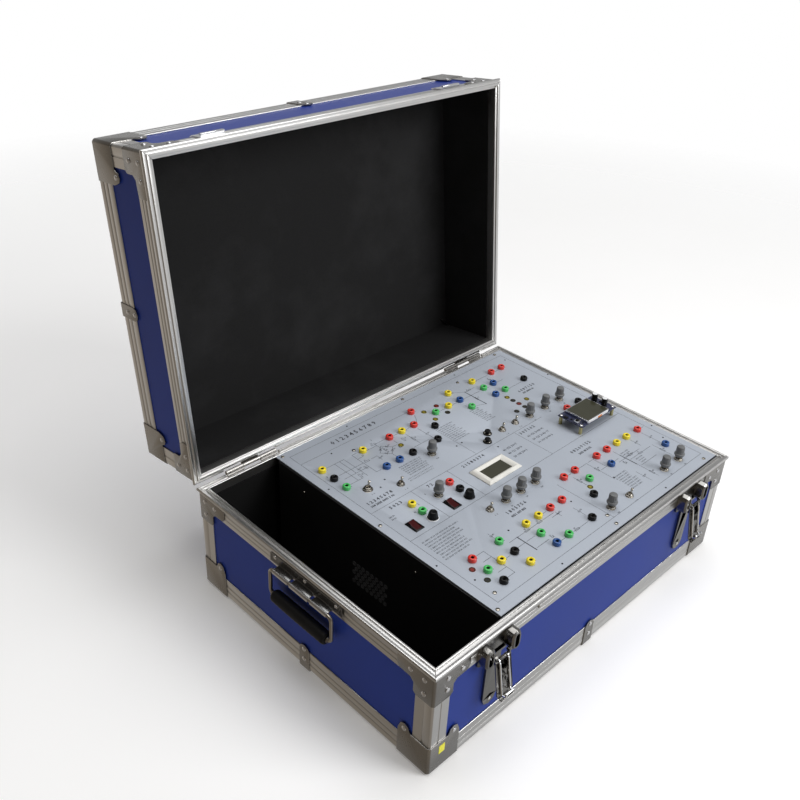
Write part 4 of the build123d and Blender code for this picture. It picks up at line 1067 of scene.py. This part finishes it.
# ------------------------------------------------------------------ knobs and switches
def knob_model(name):
    """Grey knob: flared skirt, waisted body with shallow flutes, domed top."""
    low = 0.0068
    profile = mm("5,0 6.4,0 6.7,1 7.4,1.8 7.5,3.4 7,4.2 6.1,4.7 6,6 5.9,10 5.8,13 5.6,14.2 5,15.1 "
                 "3.8,15.5 1,15.6")
    knob = turned(name, [(radius, low + rise) for radius, rise in profile], 36)
    with Editing(knob, "VERT") as editing:
        def in_flute(corner):
            x, y, z = corner.co
            turn = round(math.degrees(math.atan2(y, x)) / 10) % 3
            return turn == 0 and low + 0.0050 < z < low + 0.0136
        editing.choose(in_flute)
        bpy.ops.transform.resize(value=(0.94, 0.94, 1), center_override=(0, 0, low))
    return knob


def hex_nut(name, radius, height):
    nut = turned(name, [(radius, 0.0004), (radius, height - 0.0003), (radius * 0.93, height)], 6)
    round_edges(nut, 0.0002)
    washer = turned("washer", [(radius * 1.02, 0), (radius * 1.05, 0.0003), (radius * 1.0, 0.0005)], 24)
    return join(name, [washer, nut])


def threaded_bush(name, radius, low, high, mouth):
    """Threaded bush: small grooves up its side and a dished mouth."""
    profile, steps = [(radius * 0.94, low)], max(3, int((high - low) / 0.0005))
    for k in range(steps):
        z = low + (high - low - 0.0003) * k / steps
        profile += [(radius, z + 0.0001), (radius * 0.93, z + 0.0003)]
    profile += [(radius * 0.9, high), (mouth, high), (mouth * 0.8, high - 0.0012)]
    return turned(name, profile, 20)


def build_knobs():
    nut = join("pot_nut", [hex_nut("nut", 0.0062, 0.0030),
                           threaded_bush("bush", 0.0044, 0.0028, 0.0064, 0.0030)])
    spots = on_panel(middle(f"pot_knob_{k + 1}") for k in range(11))
    nuts = [repeat("pot_nuts", nut, spots)]
    model = knob_model("knob")
    for k, spot in enumerate(spots, 1):
        knob = copy_of(model, f"grey_knob_{k}", spot)
        hand_over(knob, "grey_plastic", f"pot_knob_{k}", body=f"pot_knob_{k}")
    bpy.data.objects.remove(model)
    for k, spot in enumerate(on_panel(toggle_foot(k + 1) for k in range(6))):
        radius = 0.0056 if k else 0.0070
        bush = threaded_bush("bush", radius * 0.66, 0.0022, 0.0050, radius * 0.42)
        nuts.append(place_mesh(join("toggle_nut", [hex_nut("nut", radius, 0.0024), bush]), spot))
    hand_over(join("control_nuts", nuts), "nickel_nuts", "control_bushings")


def toggle_foot(k):
    """Where a toggle stands: its pivot pin's middle."""
    joint = next(j for j in frame["joints"] if j["name"] == f"toggle_lever_{k}_flip")
    return joint["pos_m"][:2]


def build_toggles():
    for k in range(1, 7):
        long = 0.0145 if k == 1 else 0.0125
        x, y = toggle_foot(k)
        bat = turned(f"toggle_bat_{k}", [(0.0008, -0.0006), (0.0009, 0.0002), (0.00095, 0.0030),
                                         (0.0014, long * 0.55), (0.0020, long - 0.0020),
                                         (0.0019, long - 0.0008), (0.0012, long - 0.0002),
                                         (0.0003, long)], 20)
        ball = turned("ball", mm("0.6,-1.4 1.4,-0.9 1.7,0 1.4,0.9 0.6,1.4"), 18)
        lever = join(f"toggle_bat_{k}", [bat, ball])
        place_mesh(lever, move(x, y, TOGGLE_PIVOT) @ Matrix.Rotation(TOGGLE_TILT, 4, "X"))
        hand_over(lever, "nickel_nuts", f"toggle_lever_{k}", body=f"toggle_lever_{k}")


# pivots of the two rockers
ROCKERS_AT = ((-0.077, -0.029), (-0.146, -0.028))


def rocker_frame(name):
    """Black rocker frame: a bevelled bezel with its well sunk into it."""
    bezel = cube(name, (-0.0075, -0.0105, 0), (0.0075, 0.0105, 0.0020))
    with Editing(bezel) as editing:
        editing.choose(lambda face: face.normal.z > 0.9)
        bpy.ops.mesh.inset(thickness=0.0009, depth=0.0)
        bpy.ops.mesh.inset(thickness=0.0007, depth=0.0)
        bpy.ops.transform.resize(value=(0.90, 1, 1), center_override=(0, 0, 0))
        bpy.ops.mesh.extrude_region_move(TRANSFORM_OT_translate={"value": (0, 0, -0.0085)})
    with Editing(bezel, "VERT") as editing:
        editing.choose(lambda v: v.co.z > 0.0019 and (abs(v.co.x) > 0.0070 or abs(v.co.y) > 0.0100))
        bpy.ops.transform.translate(value=(0, 0, -0.0009))
    round_edges(bezel, 0.0002)
    return bezel


def build_switches():
    parts, bushes = [], []
    for k, spot in enumerate(on_panel(ROCKERS_AT), 1):
        parts.append(place_mesh(rocker_frame("frame"), spot))
        dress(f"rocker_{k}", f"red_rocker_{k}", "rocker_red", sharp=0.0005,
              body=f"rocker_{k}")
    for k in (1, 2):
        x, y = middle(f"fuse_cap_{k}")
        at = (x, y, PANEL_TOP)
        parts.append(turned("flange", mm("7.4,0 7.6,0.3 7.6,1.2 7.2,1.6 4,1.6 3.8,-1"), 32, at))
        profile = mm("3.6,0.5 3.6,1.9 6.6,1.9 7,2.4 6.9,3.4 6.3,6 5.6,9.2 5,10.4 4,10.8 3,10.5 0.8,10.4")
        cap = turned(f"fuse_knob_{k}", profile, 32, at)
        with Editing(cap, "VERT") as editing:
            def ridge(corner, x=x, y=y):
                turn = round(math.degrees(math.atan2(corner.co.y - y, corner.co.x - x)) / 11.25) % 2
                return turn == 0 and PANEL_TOP + 0.003 < corner.co.z < PANEL_TOP + 0.0095
            editing.choose(ridge)
            bpy.ops.transform.resize(value=(0.95, 0.95, 1), center_override=at)
        hand_over(cap, "black_plastic", f"fuse_cap_{k}", body=f"fuse_cap_{k}")
    ring = turned("fuse_washer", mm("7.8,0 8.3,0.2 8.3,0.8 7.8,1 7,1"), 32, at)
    hand_over(ring, "white_plastic")
    for k in (1, 2):
        at = (*middle(f"push_button_{k}"), PANEL_TOP)
        parts.append(turned("spool", mm("6.4,0 6.6,0.3 6.6,1.1 6.2,1.4 5.1,1.4 5,0.2 3.1,0.2"), 32, at))
        bushes.append(turned("bush", mm("5.5,1.2 5.6,1.8 5.4,2.1 5,2.1 4.9,0.6"), 28, at))
        cap = turned(f"button_{k}", mm("2.9,-2 2.9,3.6 4.3,3.7 4.6,4 4.5,5.4 4.1,5.9 3,6 0.6,5.9"), 24, at)
        hand_over(cap, "black_plastic", f"push_button_{k}", body=f"push_button_{k}")
    hand_over(join("switch_frames", parts), "black_plastic", "switch_bezels")
    hand_over(join("button_bushes", bushes), "nickel_nuts")


def build_meter(edge):
    dress("meter_bezel", "meter_frame", "warm_white", sharp=edge)


# ------------------------------------------------------------------ display module
# left, right, front and back of the display's screen; middles of its two standing capacitors
SCREEN, CANS_AT = (0.200, 0.252, -0.043, -0.003), ((0.260, -0.012), (0.260, -0.030))
# middle x, y of each small chip, and half its width and depth
CHIPS = ((0.1885, -0.012, 0.0022, 0.0034), (0.1905, -0.021, 0.0015, 0.0012),
         (0.266, -0.021, 0.0016, 0.003), (0.1955, -0.038, 0.0012, 0.0008))


def can_capacitor(name):
    """Standing capacitor: crimped sleeve below, bright scored top."""
    return turned(name, mm("4.4,0 4.5,0.4 4.5,1.4 4.2,1.8 4.2,2.1 4.5,2.5 4.5,13.3 4.2,13.8 3.7,13.8"), 28)


def build_display():
    (x0, y0, z0), (x1, y1, _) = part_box("display_board")
    top = z0 + 0.0016
    holes = [(x, y) for x in (x0 + 0.0035, x1 - 0.0035) for y in (y0 + 0.004, y1 - 0.004)]
    slab = cube("display_pcb", (x0, y0, z0), (x1, y1, top))
    for x, y in holes:
        cut_away(slab, turned("drill", [(0.0016, z0 - 0.001), (0.0016, top + 0.001)], 20, (x, y, 0)))
    round_edges(slab, 0.0002, 2, 60)
    hand_over(slab, "navy_board", "display_board")
    left, right, front, back = SCREEN
    rim = cube("display_rim", (left - 0.0008, front - 0.0008, top),
               (right + 0.0008, back + 0.0008, top + 0.0044))
    sink_top(rim, 0.0013, depth=0.0006)
    bx, by = middle("display_button")
    housing = cube("button_housing", (bx - 0.0038, by - 0.0038, top),
                   (bx + 0.0038, by + 0.0038, top + 0.0034))
    sink_top(housing, 0.0012, depth=0.0030)
    for frame_piece in (rim, housing):
        round_edges(frame_piece, 0.0002)
        hand_over(frame_piece, "rivet_steel")
    strip = cube("display_strip", (left + 0.002, front - 0.0016, top),
                 (right - 0.002, front - 0.0008, top + 0.0040))
    round_edges(strip, 0.0002)
    hand_over(strip, "white_plastic")
    film = cube("display_film", (left + 0.024, front - 0.0019, top + 0.0004),
                (left + 0.034, front - 0.0016, top + 0.0036))
    round_edges(film, 0.0001)
    hand_over(film, "orange_film")
    cans = [move(x, y, top) for x, y in CANS_AT]
    hand_over(repeat("capacitors", can_capacitor("can"), cans), "black_plastic")
    lid = turned("lid", mm("4,13.4 4,13.9 2,14 0.6,14"), 28)
    hand_over(repeat("capacitor_tops", lid, cans), "white_plastic")
    (_, _, foot), (_, _, head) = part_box("display_button")
    key = turned("display_key", [(0.0018, foot), (0.0020, foot + 0.0002), (0.0024, head - 0.0012),
                                 (0.0024, head - 0.0004), (0.0020, head), (0.0003, head)], 20, (bx, by, 0))
    hand_over(key, "black_plastic", "display_button", body="display_button")
    post = [(0.0029, PANEL_TOP), (0.0030, PANEL_TOP + 0.0004), (0.0030, z0 - 0.0004), (0.0029, z0)]
    hand_over(join("display_posts", [turned("post", post, 6, (x, y, 0)) for x, y in holes]),
              "brass")
    heads = repeat("display_screws", screw_model("screw", 0.0026), [move(x, y, top) for x, y in holes])
    hand_over(heads, "rivet_steel")
    chips = []
    for x, y, w, d in CHIPS:
        chips.append(cube("chip", (x - w, y - d, top), (x + w, y + d, top + 0.0012)))
        round_edges(chips[-1], 0.0002)
    hand_over(join("display_chips", chips), "black_plastic")


def build_inside():
    paint(panel_box="black_sheet", main_circuit_board="green_board", power_transformer="core_steel",
          mains_inlet="black_plastic", lcd_screens="display_window")
    label = cube("corner_sticker", (-0.2885, -CASE_D / 2 - 0.0003, 0.0265),
                 (-0.2790, -CASE_D / 2, 0.0395))
    round_edges(label, 0.0001)
    hand_over(label, "yellow_label")


# ------------------------------------------------------------------ stage
def area_light(name, at, aim, size, watts):
    lamp = bpy.data.lights.new(name, "AREA")
    lamp.energy, lamp.size = watts, size
    light = bpy.data.objects.new(name, lamp)
    bpy.context.collection.objects.link(light)
    light.location = at
    light.rotation_euler = (Vector(aim) - Vector(at)).to_track_quat("-Z", "Y").to_euler()


# how much brighter reflections see the backdrop: height from straight down (0) to up (1), gain
HORIZON = ((0.08, 0.3), (0.30, 1.9), (0.5, 0.9), (0.65, 0.0))
# from left to right, where the soft light starts and stops growing, and where it loses its warmth
DIM_ACROSS, DIMMEST = (-0.9, 0.3), 0.26
WARM_ACROSS, WARM_LIGHT = (-0.55, 0.15), (1, 0.86, 0.70)


def plain_world(strength, backdrop):
    """Soft grey light, dimmer and warmer from the left, seen as plain white behind the object."""
    world = bpy.data.worlds.new("studio")
    bpy.context.scene.world = world
    world.use_nodes = True
    world.node_tree.nodes.clear()
    sheet = Sheet(world.node_tree)
    where = sheet.node("ShaderNodeTexCoord", {}, {}, "Generated")
    across, height = (sheet.node("ShaderNodeSeparateXYZ", {}, {0: where}, axis) for axis in "XZ")
    camera, glossy = (sheet.node("ShaderNodeLightPath", {}, {}, f"Is {ray} Ray")
                      for ray in ("Camera", "Glossy"))

    def between(value, low, high, **more):
        """How far a value lies between two limits."""
        ends = {"Value": value, "From Min": low, "From Max": high}
        return sheet.node("ShaderNodeMapRange", {}, {**ends, **more})

    side = between(across, *DIM_ACROSS, **{"To Min": DIMMEST * strength, "To Max": strength})
    gain = sheet.ramp(between(height, -1.0, 1.0), *HORIZON) * glossy
    tint = sheet.blend(between(across, *WARM_ACROSS), WARM_LIGHT, (1, 1, 1))
    level = gain.maths("MULTIPLY_ADD", gain, side, side)
    soft = sheet.node("ShaderNodeBackground", {}, {"Color": tint, "Strength": level})
    white = sheet.node("ShaderNodeBackground", {}, {"Color": (1, 1, 1), "Strength": backdrop})
    seen = sheet.node("ShaderNodeMixShader", {}, {0: camera, 1: soft, 2: white})
    output = world.node_tree.nodes.new("ShaderNodeOutputWorld")
    sheet.connect(output.inputs["Surface"], seen)


# where each light stands, what it aims at, and how wide it is
KEY = (1.4, -2.9, 2.3), (0, 0, 0.1), 1.9
OVERHEAD = (0.3, 0.1, 2.9), (0.1, 0, 0), 2.4
# the photograph's camera: its place, and the rows of its turning matrix
CAMERA_AT = (-0.8180, -0.6419, 0.9098)
CAMERA_AXES = ((0.7137, 0.3421, -0.6112), (-0.6991, 0.4011, -0.5919), (0.0426, 0.8498, 0.5254))


def build_stage(key, fill, dome, lens):
    clear_selection()
    bpy.ops.mesh.primitive_grid_add(x_subdivisions=2, y_subdivisions=2, size=6, location=(0, 0, -0.0004))
    floor = bpy.context.object
    floor.name = "studio_floor"
    bpy.ops.object.transform_apply(location=True, rotation=False, scale=False)
    with Editing(floor):
        bpy.ops.mesh.inset(thickness=0.3, depth=0)
    floor.data.materials.append(finish("pale_floor"))
    floor.visible_glossy = False
    area_light("key", *KEY, key)
    area_light("overhead", *OVERHEAD, fill)
    plain_world(dome, 1.0)
    data = bpy.data.cameras.new("photo_camera")
    data.lens, data.sensor_width, data.clip_start, data.clip_end = lens, 36, 0.05, 30
    camera = bpy.data.objects.new("photo_camera", data)
    bpy.context.collection.objects.link(camera)
    camera.matrix_world = Matrix([(*row, at) for row, at in zip(CAMERA_AXES, CAMERA_AT)]
                                 + [(0, 0, 0, 1)])
    bpy.context.scene.camera = camera
    bpy.context.scene.view_settings.view_transform = "Standard"
    bpy.context.scene.view_settings.look = "None"


# ------------------------------------------------------------------ add-on
def number(name, text, value, unit="LENGTH"):
    kind = {"unit": "LENGTH", "subtype": "DISTANCE"} if unit == "LENGTH" else {}
    return bpy.props.FloatProperty(name=name, description=text, default=value, precision=5, **kind)


def colour(name, text, value):
    return bpy.props.FloatVectorProperty(name=name, description=text, default=value, subtype="COLOR",
                                         size=3, min=0, max=1)


class TrainerSettings(bpy.types.PropertyGroup):
    """Sizes, colours and light levels of the trainer's looks."""
    bar_edge: number("Bar edge", "Broken edge of the aluminium extrusions", 0.0004)
    cap_round: number("Cap round", "Rounding of the pressed caps' outer edges", 0.0014)
    plate_round: number("Latch plate round", "Rounding of the latch plates", 0.0014)
    panel_edge: number("Panel edge", "Broken edge of the control panel", 0.0003)
    line_width: number("Print line", "Width of the printed lines", 0.00048)
    meter_edge: number("Meter edge", "Broken edge of the meter bezel", 0.0004)
    laminate_colour: colour("Laminate", "Colour of the laminated boards", (0.022, 0.046, 0.26))
    panel_colour: colour("Panel", "Colour of the control panel", (0.45, 0.49, 0.555))
    red: colour("Red", "Colour of the red sockets", (0.70, 0.035, 0.022))
    yellow: colour("Yellow", "Colour of the yellow sockets", (0.90, 0.72, 0.02))
    green: colour("Green", "Colour of the green sockets", (0.07, 0.52, 0.12))
    blue: colour("Blue", "Colour of the blue sockets", (0.012, 0.075, 0.28))
    key_light: number("Key light", "Watts of the key light", 84.0, "NONE")
    fill_light: number("Overhead light", "Watts of the overhead light", 48.0, "NONE")
    dome_light: number("Dome light", "Strength of the soft light all round", 0.27, "NONE")
    lens: number("Lens", "Focal length in millimetres on a 36 mm sensor", 41.53, "NONE")


def operator(idname, label, text, work, *settings):
    """An operator that builds one group of pieces from its settings."""
    def execute(self, context):
        work(*(getattr(context.scene.trainer, setting) for setting in settings))
        return {"FINISHED"}
    return type("TRAINER_OT_" + idname, (bpy.types.Operator,),
                {"__doc__": text, "bl_idname": "trainer." + idname, "bl_label": label,
                 "bl_options": {"REGISTER", "UNDO"}, "execute": execute})


OPERATORS = [operator(*row) for row in (
    ("boards", "Boards", "Finish the laminated boards of both halves", build_boards),
    ("linings", "Linings", "Finish the black linings", build_linings),
    ("extrusions", "Extrusions", "Dress the aluminium edge bars", build_extrusions, "bar_edge"),
    ("fittings", "Corner fittings", "Dress caps, braces and clips, with their rivets", build_fittings,
     "cap_round"),
    ("hinges", "Hinges", "Dress the hinge leaves and their rivets", build_hinges),
    ("latches", "Latches", "Build levers, wire bails, plates and keepers", build_latches, "plate_round"),
    ("handles", "Handles", "Build both wire handles with grips and plates", build_handles),
    ("panel", "Control panel", "Dress the panel plate with its screws", build_panel, "panel_edge"),
    ("printing", "Panel print", "Lay the printed lines and numbers on the panel", build_print,
     "line_width"),
    ("sockets", "Sockets", "Turn the coloured sockets and test rings", build_sockets),
    ("knobs", "Knobs", "Turn the grey knobs, nuts and threaded bushes", build_knobs),
    ("toggles", "Toggles", "Turn the toggle levers", build_toggles),
    ("switches", "Switches", "Build rockers, fuse caps and push buttons", build_switches),
    ("meter", "Meter", "Dress the meter bezel", build_meter, "meter_edge"),
    ("display", "Display module", "Build the small display board and its parts", build_display),
    ("inside", "Inner works", "Finish what lies behind the panel", build_inside),
    ("stage", "Stage", "Set floor, lights, world and camera", build_stage, "key_light", "fill_light",
     "dome_light", "lens"),
)]


class TRAINER_PT_sidebar(bpy.types.Panel):
    """Sizes, and a button for each group of pieces."""
    bl_idname = "TRAINER_PT_sidebar"
    bl_label = "Digital Logic Trainer"
    bl_space_type = "VIEW_3D"
    bl_region_type = "UI"
    bl_category = "Trainer"

    def draw(self, context):
        for name in TrainerSettings.__annotations__:
            self.layout.prop(context.scene.trainer, name)
        for entry in OPERATORS:
            self.layout.operator(entry.bl_idname)


def register():
    for entry in (TrainerSettings, *OPERATORS, TRAINER_PT_sidebar):
        bpy.utils.register_class(entry)
    bpy.types.Scene.trainer = bpy.props.PointerProperty(type=TrainerSettings)


def unregister():
    del bpy.types.Scene.trainer
    for entry in (TRAINER_PT_sidebar, *reversed(OPERATORS), TrainerSettings):
        bpy.utils.unregister_class(entry)


def main():
    register()
    for entry in OPERATORS:
        print("building", entry.bl_label, flush=True)
        getattr(bpy.ops.trainer, entry.bl_idname.split(".")[1])()


if __name__ == "__main__":
    main()
